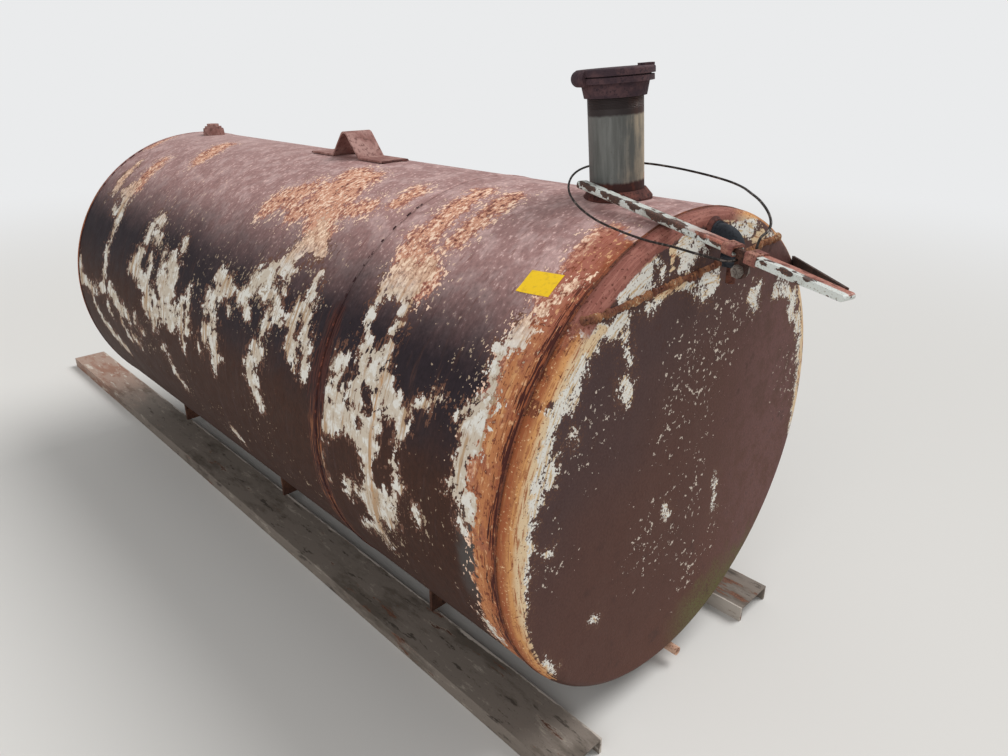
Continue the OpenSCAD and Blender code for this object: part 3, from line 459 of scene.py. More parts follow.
def shell_paint():
    """Alkyd enamel on mild steel, rolled on long ago: maroon brown, chalked to a pale dust pink where
    the sun reaches it, painted lighter on top as sunlight and darker down the flanks as shade. It has
    flaked off an older cream coat, and rust shows through both."""
    material, tree, shader = new_finish("chalked_maroon_enamel", specular=0.15)
    spot = here(tree)
    flat, station, _, high = unroll(tree, spot)
    to_cream, to_orange, to_chips = attribute_parts(tree)
    wide = cloudy(tree, spot, 420, 3)
    mottle = cloudy(tree, spot, 60, 8, 0.65, shift=3.1)
    grain = cloudy(tree, flat, 9, 2, 0.6, stretch=(1, 1.6, 1), shift=9.1)
    runs = cloudy(tree, flat, 16, 5, 0.6, stretch=(1, 10, 1), shift=1.9)
    comb = cloudy(tree, flat, 8, 3, 0.6, stretch=(1, 6, 1), shift=4.9)
    ragged = cloudy(tree, flat, 42, 7, 0.64, shift=2.2)
    hair = cloudy(tree, flat, 4.5, 3, 0.6, stretch=(1, 13, 1), shift=6.3)
    base, top, low = weathered(tree, high, wide, mottle, runs, comb, grain)
    # Lighter still on top towards the rear: chalk dust, and a painted sheen where the sun glances along
    # the top
    dust_and_sheen = both(tree, cut(tree, [high, (wide, 0.4)], 0.70, 0.25), cut(tree, station, 1.3, 3.0),
                 0.7)
    base = layers(tree, base, (dust_and_sheen, "#bba09c"))
    # Worn to specks over some centimetres in places, and broken off sharply in others
    loose = cut(tree, mottle, 0.46, 0.62)
    specks = both(tree, add(tree, "ShaderNodeMath", {0: grain, 1: 0.5}, operation="SUBTRACT"),
                  sum_of(tree, loose, 0.35))
    edge = sum_of(tree, to_cream, ragged, (comb, 0.08))
    cream = cut(tree, [edge, specks], 0.575, 0.555)
    stained = cut(tree, [edge, (comb, 0.5), (specks, 1.6)], 0.94, 0.86)
    burnt = sum_of(tree, to_orange, (ragged, 0.7), (comb, 0.15))
    rust = cut(tree, [burnt, specks], 0.78, 0.60)
    tan = cut(tree, [(burnt, 0.6), (grain, 1.6), (mottle, 0.3)], 1.34, 1.28)
    chips = cut(tree, [grain, (to_chips, -0.08), (to_cream, -0.06), (mottle, 0.35)], 0.80, 0.82)
    # Streaks of dark scale along the groove beside the front seam, and beside the middle one
    groove = gap_from(tree, station, FRONT_SEAM + 0.005)
    scale = both(tree, cut(tree, [(groove, 12.0), (hair, 1.8), (runs, 0.7)], 1.42, 1.34),
                 cut(tree, high, 0.45, 0.7))
    seam = gap_from(tree, station, MID_SEAM)
    seam = both(tree, cut(tree, [(seam, 12.0), (comb, 0.6), (runs, 0.8)], 1.14, 0.98),
                cut(tree, [high, (mottle, 0.5)], 1.12, 1.32))
    seam_colour = layers(tree, "#4d2b26", (hair, 0.50, 0.58, "#2c1a1a"),
                         (both(tree, cut(tree, hair, 0.50, 0.40), cut(tree, high, 1.3, 1.55)),
                          "#8c5a3c"))
    flank_cream = layers(tree, "#cabead", (ragged, 0.52, 0.42, "#dedbd3"),
                         (runs, 0.52, 0.64, "#b3977a"), (hair, 0.60, 0.66, "#8d6e56"))
    top_cream = layers(tree, "#d5ae94", (comb, 0.50, 0.62, "#b0846c"),
                       (grain, 0.46, 0.38, "#f3d6bc"), (grain, 0.58, 0.64, "#8a5f4e"))
    run = gap_from(tree, station, RUN_AT)
    run = cut(tree, [(run, 30.0), (hair, 1.4), (runs, 0.6)], 1.28, 0.90)
    cream_colour = layers(tree, flank_cream, (run, "#b98d62"), (high, 0.95, 0.70, top_cream))
    rust_colour = layers(tree, "#9a6558", (comb, 0.48, 0.62, "#875246"), (low, "#9c5d38"),
                         (grain, 0.60, 0.68, "#5f352b"))
    tan_colour = layers(tree, "#cf9a80", (comb, 0.50, 0.62, "#b98069"),
                        (grain, 0.44, 0.38, "#f0d0b8"), (grain, 0.60, 0.66, "#a56b5a"))
    # Beside the front rim the orange is grainy, and redder towards the groove
    by_rim = cut(tree, [station, (ragged, 0.06)], 0.19, 0.14)
    by_groove = cut(tree, [station, (hair, 0.05), (mottle, 0.06)], 0.140, 0.090)
    rim_colour = layers(tree, "#b87a50", (runs, 0.46, 0.38, "#cd9868"),
                        (mottle, 0.48, 0.60, "#a1644a"), (high, 0.95, 0.60, "#a56656"),
                        (by_groove, "#925032"), (hair, 0.55, 0.65, "#8f4f37"),
                        (grain, 0.58, 0.66, "#7a4330"), (grain, 0.40, 0.32, "#d2a077"))
    # A patch below the rim's cream has greyed
    greyed = both(tree, cut(tree, [station, (ragged, 0.05)], 0.195, 0.16),
                  cut(tree, high, 1.44, 1.48), cut(tree, [high, (mottle, 0.3)], 2.05, 1.8))
    # Chips are lighter on top than down the flanks, partly as painted sunlight
    colour = layers(tree, base, (greyed, "#4c4643"), (stained, "#6b4a3c"), (rust, rust_colour),
                    (tan, tan_colour), (both(tree, rust, by_rim), rim_colour),
                    (cream, cream_colour), (chips, layers(tree, "#a8957f", (top, "#d8b8a2"))),
                    (seam, seam_colour), (scale, "#48241f"))
    rough = sum_of(tree, (mottle, 0.3), (cream, 0.12), (rust, 0.12), (grain, 0.1), 0.42)
    normal = relief(tree, (grain, 0.6), (ragged, 0.8), (wide, 6.0))
    feed(tree, shader, {"Base Color": colour, "Roughness": rough, "Normal": normal})
    return material


def seam_paint():
    """The girth weld with the shell's own enamel over it, pitted black where the weld is porous."""
    material, tree, shader = new_finish("enamelled_weld", specular=0.15)
    spot = here(tree)
    flat, _, _, high = unroll(tree, spot)
    mottle = cloudy(tree, spot, 60, 8, 0.65, shift=3.1)
    pits = cloudy(tree, flat, 14, 3, 0.6, stretch=(1, 1.4, 1), shift=5.5)
    wide = cloudy(tree, spot, 420, 3)
    # The enamel over the weld takes the shell's painted sunlight on top and painted shade down the
    # flanks
    base, _, _ = weathered(tree, high, wide, mottle, mottle, pits, pits)
    rusty = cut(tree, [high, (mottle, 0.5)], 1.1, 1.35)
    dark = layers(tree, "#44251f", (pits, 0.42, 0.36, "#6d3c30"))
    pitted = both(tree, cut(tree, pits, 0.50, 0.54), cut(tree, high, 0.34, 0.42))
    feed(tree, shader, {
        "Base Color": layers(tree, base, (rusty, dark), (pitted, "#352022")), "Roughness": 0.7,
        "Normal": relief(tree, (pits, -1.0))})
    return material


def head_paint():
    """The same maroon enamel on the flat head, which stands upright and so is less chalked. Cream
    shows in a band inside the knuckle, and the knuckle itself has rusted red and orange."""
    material, tree, shader = new_finish("maroon_enamel_on_head", specular=0.12)
    spot = here(tree)
    parts = add(tree, "ShaderNodeSeparateXYZ", {0: spot})
    flat = add(tree, "ShaderNodeCombineXYZ", {"X": parts.outputs["Y"], "Y": parts.outputs["Z"]})
    radial = add(tree, "ShaderNodeVectorMath", {0: flat}, operation="LENGTH")
    unrolled, station, angle, high = unroll(tree, spot)
    arc = add(tree, "ShaderNodeSeparateXYZ", {0: unrolled}).outputs["Y"]
    behind = add(tree, "ShaderNodeMath", {0: LENGTH, 1: station}, operation="SUBTRACT")
    depth = add(tree, "ShaderNodeMath", {0: station, 1: behind}, operation="MINIMUM")
    round_edge = add(tree, "ShaderNodeCombineXYZ", {
        "X": add(tree, "ShaderNodeMath", {0: depth, 1: radial}, operation="ADD"), "Y": arc})
    to_cream, to_orange, to_chips = attribute_parts(tree)
    wide = cloudy(tree, spot, 500, 3, shift=4.0)
    mottle = cloudy(tree, spot, 45, 8, 0.65, shift=6.1)
    ragged = cloudy(tree, spot, 30, 7, 0.66, shift=1.2)
    grain = cloudy(tree, spot, 6, 2, 0.6, shift=2.7)
    comb = cloudy(tree, round_edge, 6, 3, 0.6, stretch=(1, 9, 1), shift=3.7)
    flakes = cloudy(tree, flat, 17, 3, 0.65, shift=5.9)
    # Greyer towards the upper left, red brown to the right and below
    across = sum_of(tree, (parts.outputs["Y"], -0.55), (parts.outputs["Z"], 0.75), (wide, 0.5),
                    (mottle, 0.2))
    base = layers(tree, "#54372f", (across, 0.30, 0.95, "#483737"),
                  (across, 0.30, -0.15, "#5a382d"),
                  (both(tree, cut(tree, parts.outputs["Y"], 0.0, 0.45),
                        cut(tree, mottle, 0.3, 0.7)), "#6e4d4a"), (mottle, 0.54, 0.74, "#4d352f"))
    shade = add(tree, "ShaderNodeMapRange", {"Value": grain, "From Min": 0.2, "From Max": 0.8,
                                             "To Min": 0.78, "To Max": 1.22})
    base = add(tree, "ShaderNodeVectorMath", {0: base, "Scale": shade}, operation="SCALE")
    specks = add(tree, "ShaderNodeMath", {0: grain, 1: 0.5}, operation="SUBTRACT")
    edge = sum_of(tree, to_cream, ragged)
    cream = cut(tree, [edge, (specks, 0.6)], 0.53, 0.51)
    stain = cut(tree, [edge, (specks, 1.4)], 0.66, 0.58)
    orange = cut(tree, [to_orange, (ragged, 0.8), (comb, 0.3)], 0.60, 0.54)
    chips = cut(tree, [flakes, (grain, 0.35), (to_chips, -0.13), (mottle, 0.30)], 0.965, 0.980)
    # How far round from the face over the knuckle to the flange
    over = sum_of(tree, radial, depth, (ragged, 0.02), (comb, 0.01))
    rim = cut(tree, over, 0.612, 0.622)
    green = both(tree, cut(tree, [parts.outputs["Z"], (mottle, 0.25), (parts.outputs["Y"], -0.15)],
                           -0.30, -0.44), cut(tree, parts.outputs["Y"], -0.05, 0.16),
                 cut(tree, grain, 0.30, 0.6))
    cream_colour = layers(tree, "#dfdcd4", (comb, 0.52, 0.62, "#c9ae88"),
                          (grain, 0.60, 0.66, "#937660"))
    orange_colour = layers(tree, "#dac19d", (over, 0.600, 0.622, "#c9935f"),
                           (over, 0.622, 0.645, "#9c5a39"), (comb, 0.53, 0.63, "#a86f49"),
                           (grain, 0.38, 0.31, "#d9b48a"), (grain, 0.60, 0.68, "#8a5339"))
    # The knuckle is pink rust where the sun burns it, streaked orange lower down and brown below
    pink = layers(tree, "#8a564c", (comb, 0.44, 0.6, "#9c685c"), (grain, 0.58, 0.68, "#63392f"))
    streaked = layers(tree, "#b07a4e", (over, 0.625, 0.650, "#784530"),
                      (comb, 0.50, 0.58, "#6d3a2a"), (grain, 0.42, 0.36, "#cf9c6c"),
                      (grain, 0.6, 0.7, "#5d3226"))
    turn = sum_of(tree, high, (mottle, 0.25), (ragged, 0.2))
    sunny = both(tree, cut(tree, turn, 1.08, 0.96), cut(tree, angle, -0.28, -0.12),
                 cut(tree, [radial, (ragged, 0.03)], 0.594, 0.600))
    lower_rim = layers(tree, streaked, (turn, 2.30, 2.45, "#4b332b"))
    colour = layers(tree, base, (stain, "#5f4236"), (green, "#5f5d36"), (chips, "#c9bcae"),
                    (rim, lower_rim), (cream, cream_colour), (orange, orange_colour), (sunny, pink))
    rough = sum_of(tree, (mottle, 0.25), (cream, 0.15), (rim, 0.1), 0.42)
    normal = relief(tree, (grain, 0.5), (mottle, 0.6), (wide, 5.0))
    feed(tree, shader, {"Base Color": colour, "Roughness": rough, "Normal": normal})
    return material


# Small finishes


def rusted(name, body, bright, dark, grain=5.0, depth=0.6, pale=None):
    """Mild steel or iron with a full coat of rust: matt, granular, brighter on its high spots."""
    material, tree, shader = new_finish(name, specular=0.25)
    spot = here(tree)
    broad = cloudy(tree, spot, grain * 8, 8, 0.65, shift=1.1)
    fine = cloudy(tree, spot, grain, 8, 0.7, shift=4.4)
    coats = [(broad, 0.42, 0.62, bright), (fine, 0.50, 0.64, dark)]
    if pale:
        coats.append((cut(tree, [(broad, 0.5), (fine, 0.5)], 0.56, 0.62), pale))
    rough = add(tree, "ShaderNodeMath", {0: fine, 1: 0.25, 2: 0.68}, operation="MULTIPLY_ADD")
    feed(tree, shader, {
        "Base Color": layers(tree, body, *coats), "Roughness": rough,
        "Normal": relief(tree, (fine, depth), (broad, depth * 1.5))})
    return material


def zinc_pipe():
    """Hot-dip galvanised steel pipe, weathered to dull grey zinc oxide, tan on the side towards the
    light, partly rust dust and partly painted sunlight, with bare rusty steel at the foot where welding
    burnt the zinc off. Under the collar it is dark over the threads, with a painted shadow of the
    collar."""
    material, tree, shader = new_finish("weathered_galvanised_pipe", metallic=0.25, specular=0.4)
    spot = add(tree, "ShaderNodeTexCoord").outputs["Object"]
    local = add(tree, "ShaderNodeMapping", {
        "Vector": spot, "Location": PIPE_PLACE.translation, "Rotation": PIPE_PLACE.to_euler()},
        vector_type="TEXTURE")
    up = add(tree, "ShaderNodeSeparateXYZ", {0: local}).outputs["Z"]
    turns = add(tree, "ShaderNodeMath", {0: up, 1: math.tau / 0.0032}, operation="MULTIPLY")
    rings = both(tree, add(tree, "ShaderNodeMath", {0: turns}, operation="SINE"),
                 cut(tree, up, PIPE_H - 0.026, PIPE_H - 0.022))
    side = add(tree, "ShaderNodeSeparateXYZ", {0: here(tree)}).outputs["Y"]
    wash = cloudy(tree, local, 18, 6, 0.6, stretch=(1, 1, 9), shift=2.0)
    mottle = cloudy(tree, local, 30, 7, 0.6, shift=5.0)
    fine = cloudy(tree, local, 3, 5, 0.6, shift=0.7)
    # Tan on the side towards the light: rust dust, and painted sunlight
    tan = cut(tree, [(side, 6.0), (mottle, 0.3), (wash, 0.8)], 0.26, 0.72)
    foot = cut(tree, [up, (wash, 0.012), (mottle, 0.006)], 0.052, 0.044)
    line = both(tree, cut(tree, [up, (mottle, 0.012)], 0.062, 0.056),
                cut(tree, [wash, (side, 4.0)], 0.5, 0.7))
    # Dark under the collar: bare threads, darkened further as painted shadow of the collar
    bare = cut(tree, [up, (wash, 0.010), (mottle, 0.006)], PIPE_H - 0.032, PIPE_H - 0.026)
    colour = layers(tree, "#575855", (wash, 0.42, 0.66, "#6b6c69"), (tan, "#a99a84"),
                    (fine, 0.62, 0.7, "#54524a"), (line, "#a0603c"),
                    (foot, layers(tree, "#3c2320", (mottle, 0.5, 0.65, "#5d3227"))),
                    (bare, layers(tree, "#2c2424", (tan, "#4a3129"))))
    rough = sum_of(tree, (mottle, 0.2), (foot, 0.25), 0.42)
    feed(tree, shader, {"Base Color": colour, "Roughness": rough,
                        "Normal": relief(tree, (fine, 0.12), (both(tree, foot, mottle), 0.8),
                                         (rings, 0.5))})
    return material


def bar_paint(name, rusty_from, flaking):
    """White chlorinated-rubber paint on a steel section, hard and brittle: it has come off in
    plates, most along the upper corner, and left brown mill scale. Flaking is how much more is off
    at that corner, and the top is rusty on the side of the bar past rusty_from."""
    material, tree, shader = new_finish(name, specular=0.45)
    local = add(tree, "ShaderNodeMapping", {
        "Vector": here(tree), "Location": BAR_START, "Rotation": BAR_TURN}, vector_type="TEXTURE")
    parts = add(tree, "ShaderNodeSeparateXYZ", {0: local})
    plates = cloudy(tree, local, 17, 9, 0.6, stretch=(1.8, 1, 1), shift=3.0)
    fine = cloudy(tree, local, 3.5, 6, 0.6, shift=1.0)
    broad = cloudy(tree, local, 70, 4, shift=8.0)
    # The corner between the top and the left side, as (forwards, right, up) on the bar
    corner = sum_of(tree, (parts.outputs["Z"], 0.7), (parts.outputs["Y"], -0.7))
    near = cut(tree, [corner, (broad, 0.01)], 0.011, 0.019)
    bare = cut(tree, [plates, (near, flaking), (broad, 0.35)], 0.74, 0.755)
    hub = cut(tree, [parts.outputs["X"], (broad, 0.16)], 0.40, 0.50)
    top = cut(tree, [parts.outputs["Z"], (fine, 0.006), (plates, 0.008)], 0.0095, 0.0115)
    across = sum_of(tree, parts.outputs["Y"], (plates, 0.012))
    rust_mask = both(tree, top, hub, cut(tree, across, rusty_from, rusty_from + 0.003))
    rust = layers(tree, "#96594a", (fine, 0.45, 0.6, "#b07461"), (plates, 0.52, 0.6, "#703c2e"))
    brown = layers(tree, "#45332d", (fine, 0.5, 0.62, "#684636"))
    white = layers(tree, "#cbcfca", (broad, 0.45, 0.65, "#aeb0a8"), (fine, 0.56, 0.66, "#92897c"))
    colour = layers(tree, white, (bare, brown), (rust_mask, rust))
    rough = sum_of(tree, (bare, 0.3), (fine, 0.15), 0.36)
    feed(tree, shader, {"Base Color": colour, "Roughness": rough,
                        "Normal": relief(tree, (bare, -0.5), (fine, 0.15))})
    return material


def skid_finish(name, inner_rust, node):
    """Hot-rolled channel, painted grey once and worn by weather and mud, rusty where it is bare. The
    rear end lies in the open and is a lighter pinkish tan, partly bleached and partly painted sunlight
    past the tank's shadow, and the inner edge is scuffed pale."""
    material, tree, shader = new_finish(name, specular=0.3)
    spot = here(tree)
    parts = add(tree, "ShaderNodeSeparateXYZ", {0: spot})
    inner = min((c.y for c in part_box(node)), key=abs)
    grime = cloudy(tree, spot, 120, 8, 0.7, stretch=(3, 1, 1), shift=1.0)
    chips = cloudy(tree, spot, 30, 9, 0.7, stretch=(4, 1, 1), shift=6.0)
    fine = cloudy(tree, spot, 5, 5, 0.65, shift=3.0)
    bare = cut(tree, [(chips, 0.6), (grime, 0.4 + inner_rust)], 0.56 + inner_rust * 0.4,
               0.60 + inner_rust * 0.4)
    rust = layers(tree, "#67483b", (fine, 0.45, 0.6, "#7f5843"), (chips, 0.58, 0.7, "#4a332b"))
    paint = layers(tree, "#7d736a", (grime, 0.48, 0.60, "#625950"), (chips, 0.56, 0.66, "#a39a8e"),
                   (chips, 0.42, 0.36, "#4e463f"), (fine, 0.6, 0.7, "#5b524a"))
    # The rear end, past the tank's shadow: bleached, and lighter as painted sunlight
    behind = cut(tree, [parts.outputs["X"], (grime, 0.9)], -2.25, -2.75)
    bleached = layers(tree, "#a38b7d", (grime, 0.48, 0.56, "#94705f"),
                      (chips, 0.55, 0.62, "#c4b9ac"), (fine, 0.58, 0.68, "#75594c"))
    away = gap_from(tree, parts.outputs["Y"], inner)
    scuffed = cut(tree, [away, (chips, 0.04)], 0.026, 0.022)
    colour = layers(tree, paint, (bare, rust), (behind, bleached), (scuffed, "#b9b0a6"))
    feed(tree, shader, {"Base Color": colour, "Roughness": 0.85,
                        "Normal": relief(tree, (bare, -0.4), (fine, 0.4), (grime, 0.8))})
    return material


def wire_finish():
    """Soft black annealed wire, its oxide worn to grey on the outside of the bends."""
    material, tree, shader = new_finish("black_annealed_wire", metallic=0.6, specular=0.5)
    fine = cloudy(tree, here(tree), 12, 6, 0.6)
    feed(tree, shader, {"Base Color": layers(tree, "#2b2523", (fine, 0.5, 0.68, "#7a706a")),
                        "Roughness": 0.5, "Normal": relief(tree, (fine, 0.1))})
    return material


def label_finish():
    """Yellow vinyl film, bare, with a satin surface, a little dust and faint scuffs."""
    material, tree, shader = new_finish("yellow_vinyl_film", specular=0.5)
    dust = cloudy(tree, here(tree), 14, 7, 0.6)
    feed(tree, shader, {"Base Color": layers(tree, "#f2c60a", (dust, 0.5, 0.8, "#cfa524")),
                        "Roughness": 0.35, "Normal": relief(tree, (dust, 0.1))})
    return material


BACKDROP = "#eaebec"


def floor_finish():
    """A plain pale studio floor."""
    material, tree, shader = new_finish("pale_floor", specular=0.2)
    feed(tree, shader, {"Base Color": linear("#d6d4d0"), "Roughness": 0.9})
    # Far off it runs into the backdrop without a horizon
    spot = add(tree, "ShaderNodeTexCoord").outputs["Object"]
    far = add(tree, "ShaderNodeVectorMath", {0: spot}, operation="LENGTH").outputs["Value"]
    ray = add(tree, "ShaderNodeLightPath").outputs["Is Camera Ray"]
    fade = both(tree, cut(tree, far, 2.5, 9.0), ray)
    plain = add(tree, "ShaderNodeEmission", {"Color": linear(BACKDROP)})
    mixed = add(tree, "ShaderNodeMixShader", {0: fade, 1: shader, 2: plain})
    feed(tree, next(n for n in tree.nodes if n.type == "OUTPUT_MATERIAL"), {"Surface": mixed})
    return material


# Pieces


def keep(obj, slot_name, *replaced):
    """Rides a finished piece on the body and hides the nodes that it replaces. The slot name is not
    used.
    """
    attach(obj, "root")
    if replaced:
        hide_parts(*replaced)
    return obj


def mesh_piece(name, points, faces, finish, smooth=True):
    mesh = bpy.data.meshes.new(name)
    mesh.from_pydata([tuple(p) for p in points], [], faces)
    mesh.update()
    for polygon in mesh.polygons:
        polygon.use_smooth = smooth
    mesh.materials.append(finish)
    obj = bpy.data.objects.new(name, mesh)
    bpy.context.scene.collection.objects.link(obj)
    return obj


def turned(name, profile, count, paint, finish, whole=True):
    """A skin turned round the tank's axis from a profile of (station, radius). It closes on itself,
    or at a pole at each end. The attribute "coat" carries how far each vertex is from the paints."""
    points, faces, firsts = [], [], []
    for station, radius in profile:
        firsts.append(len(points))
        for k in range(count if radius else 1):
            turn = math.tau * k / count
            points.append((-station, -radius * math.sin(turn), radius * math.cos(turn)))
    pairs = list(zip(range(len(profile)), range(1, len(profile))))
    for i, j in pairs + [(len(profile) - 1, 0)] * whole:
        for k in range(count):
            m = (k + 1) % count
            if not profile[i][1]:
                faces.append((firsts[i], firsts[j] + k, firsts[j] + m))
            elif not profile[j][1]:
                faces.append((firsts[i] + k, firsts[j], firsts[i] + m))
            else:
                faces.append((firsts[i] + k, firsts[j] + k, firsts[j] + m, firsts[i] + m))
    points = np.array(points)
    skin = mesh_piece(name, points + np.array(MIDDLE), faces, finish)
    carried = skin.data.attributes.new("coat", "FLOAT_VECTOR", "POINT")
    carried.data.foreach_set("vector", paint(points).ravel())
    return skin


def steps(start, end, most):
    """Even steps from start to end, none longer than the most."""
    return np.linspace(start, end, max(2, math.ceil(abs(end - start) / most) + 1)).tolist()


def path_mesh(name, points, lifts, closed):
    """A line of edges that a Geometry Nodes tree follows. A lift is the way out of the surface."""
    count = len(points)
    edges = [(i, (i + 1) % count) for i in range(count if closed else count - 1)]
    mesh = bpy.data.meshes.new(name)
    mesh.from_pydata([tuple(p) for p in points], edges, [])
    lift = mesh.attributes.new("lift", "FLOAT_VECTOR", "POINT")
    lift.data.foreach_set("vector", [c for l in lifts for c in l])
    return mesh


def bead_tree():
    """A weld bead: overlapping ripples along a path, each a flattened drop that lies across it."""
    tree = bpy.data.node_groups.new("weld_bead", "GeometryNodeTree")
    tree.interface.new_socket("Geometry", in_out="INPUT", socket_type="NodeSocketGeometry")
    for name, value in (("Pitch", 0.005), ("Width", 0.008), ("Height", 0.002), ("Uneven", 0.2)):
        socket = tree.interface.new_socket(name, in_out="INPUT", socket_type="NodeSocketFloat")
        socket.default_value = value
    tree.interface.new_socket("Seed", in_out="INPUT", socket_type="NodeSocketInt")
    tree.interface.new_socket("Finish", in_out="INPUT", socket_type="NodeSocketMaterial")
    tree.interface.new_socket("Geometry", in_out="OUTPUT", socket_type="NodeSocketGeometry")
    sizes = add(tree, "NodeGroupInput").outputs
    line = add(tree, "GeometryNodeMeshToCurve", {"Mesh": sizes["Geometry"]})
    line = add(tree, "GeometryNodeResampleCurve", {"Curve": line, "Length": sizes["Pitch"]},
               mode="LENGTH")
    along = add(tree, "FunctionNodeAlignRotationToVector",
                {"Vector": add(tree, "GeometryNodeInputTangent")}, axis="X")
    lift = add(tree, "GeometryNodeInputNamedAttribute", {"Name": "lift"}, data_type="FLOAT_VECTOR")
    upright = add(tree, "FunctionNodeAlignRotationToVector", {"Rotation": along, "Vector": lift},
                  axis="Z", pivot_axis="X")
    size = add(tree, "ShaderNodeCombineXYZ", {"X": sizes["Pitch"], "Y": sizes["Width"],
                                              "Z": sizes["Height"]})
    least = add(tree, "ShaderNodeMath", {0: 1.0, 1: sizes["Uneven"]}, operation="SUBTRACT")
    chance = add(tree, "FunctionNodeRandomValue", {"Min": least, "Max": 1.0, "Seed": sizes["Seed"]},
                 data_type="FLOAT")
    scale = add(tree, "ShaderNodeVectorMath", {0: size, "Scale": chance}, operation="SCALE")
    drop = add(tree, "GeometryNodeMeshUVSphere", {"Segments": 8, "Rings": 5, "Radius": 1.0})
    drops = add(tree, "GeometryNodeInstanceOnPoints", {
        "Points": line, "Instance": drop.outputs["Mesh"], "Rotation": upright, "Scale": scale})
    real = add(tree, "GeometryNodeRealizeInstances", {"Geometry": drops})
    smooth = add(tree, "GeometryNodeSetShadeSmooth", {"Geometry": real})
    painted = add(tree, "GeometryNodeSetMaterial", {"Geometry": smooth, "Material": sizes["Finish"]})
    add(tree, "NodeGroupOutput", {"Geometry": painted})
    return tree


def grown(name, base, tree, **sizes):
    """Runs a Geometry Nodes tree on a mesh and keeps what it makes as a plain mesh."""
    obj = bpy.data.objects.new(name, base)
    bpy.context.scene.collection.objects.link(obj)
    modifier = obj.modifiers.new("grow", "NODES")
    modifier.node_group = tree
    for item in tree.interface.items_tree:
        if item.in_out == "INPUT" and item.name in sizes:
            modifier[item.identifier] = sizes[item.name]
    bpy.context.view_layer.update()
    made = bpy.data.meshes.new_from_object(obj.evaluated_get(bpy.context.evaluated_depsgraph_get()))
    obj.modifiers.remove(modifier)
    obj.data = made
    return obj


def lit_by(name, kind, energy, size, place, aim):
    data = bpy.data.lights.new(name, kind)
    data.energy = energy
    setattr(data, "angle" if kind == "SUN" else "size", size)
    lamp = bpy.data.objects.new(name, data)
    turn = (aim - place).to_track_quat("-Z", "Y")
    lamp.matrix_world = Matrix.Translation(place) @ turn.to_matrix().to_4x4()
    bpy.context.scene.collection.objects.link(lamp)


def studio():
    """A plain pale floor, one even soft light from the upper right, a fill lamp and a pale world."""
    reach = 60.0
    floor = mesh_piece("floor", [(-reach, -reach, 0), (reach, -reach, 0), (reach, reach, 0),
                                 (-reach, reach, 0)], [(0, 1, 2, 3)], floor_finish())
    centre = Vector((0, 0, 0.8))
    lit_by("key", "SUN", 2.2, 0.6, centre + Vector((1.5, 3.2, 4.6)), centre)
    lit_by("fill", "AREA", 90, 4.0, centre + Vector((2.5, -4.5, 2.6)), centre)
    world = bpy.data.worlds.new("studio")
    bpy.context.scene.world = world
    world.use_nodes = True
    tree = world.node_tree
    tree.nodes.clear()
    ray = add(tree, "ShaderNodeLightPath").outputs["Is Camera Ray"]
    dim = add(tree, "ShaderNodeMath", {0: ray, 1: 0.45, 2: 0.55}, operation="MULTIPLY_ADD")
    sky = add(tree, "ShaderNodeBackground", {"Color": linear(BACKDROP), "Strength": dim})
    add(tree, "ShaderNodeOutputWorld", {"Surface": sky})
    bpy.context.scene.view_settings.view_transform = "Standard"


studio()

# Skins of the shell and its heads, with real walls
SHELL_T, HEAD_T, KNUCKLE = 0.005, 0.006, 0.022
FINE = 0.009
ROUND = 424


def course_profile(front, rear):
    inner = RADIUS - SHELL_T
    return [(s, RADIUS) for s in steps(front, rear, FINE)] + [(rear, inner), (front, inner)]


def head_profile(depth):
    """From the middle of the face round the knuckle to the seam, and back along the inside."""
    flat = RADIUS - KNUCKLE
    turns = [math.radians(t) for t in range(9, 91, 9)]
    outer = [(0, r) for r in steps(0, flat, FINE)] + [
        (KNUCKLE * (1 - math.cos(t)), flat + KNUCKLE * math.sin(t)) for t in turns]
    inner = [(HEAD_T + (KNUCKLE - HEAD_T) * (1 - math.cos(t)), flat + (KNUCKLE - HEAD_T) * math.sin(t))
             for t in reversed(turns)]
    return outer + [(depth, RADIUS), (depth, RADIUS - HEAD_T)] + inner + [(HEAD_T, flat), (HEAD_T, 0)]


SHELL_PAINT = shell_paint()
HEAD_PAINT = head_paint()
for node in ("shell_front_course", "shell_rear_course"):
    low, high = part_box(node)
    keep(turned(node + "_skin", course_profile(FACE_X - high.x, FACE_X - low.x), ROUND, shell_coats,
                SHELL_PAINT), "shell_paint", node)
flange = FACE_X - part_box("front_head_lower")[0].x
keep(turned("front_head_skin", head_profile(flange), ROUND, head_coats, HEAD_PAINT, whole=False),
     "head_paint", "front_head_lower", "front_head_top")
keep(turned("rear_head_skin", [(LENGTH - s, r) for s, r in reversed(head_profile(flange))], ROUND,
            rear_coats, HEAD_PAINT, whole=False), "head_paint", "rear_head")

# Finishes of the nodes that stay as the CAD made them
WELD_RUST = rusted("weld_rust", "#5e3628", "#83492f", "#33201b", grain=5, depth=0.8)
FOOT_RUST = rusted("dark_weld_rust", "#4d2a25", "#6e4036", "#281615", grain=7, depth=1.2)
SEAM_RUST = seam_paint()
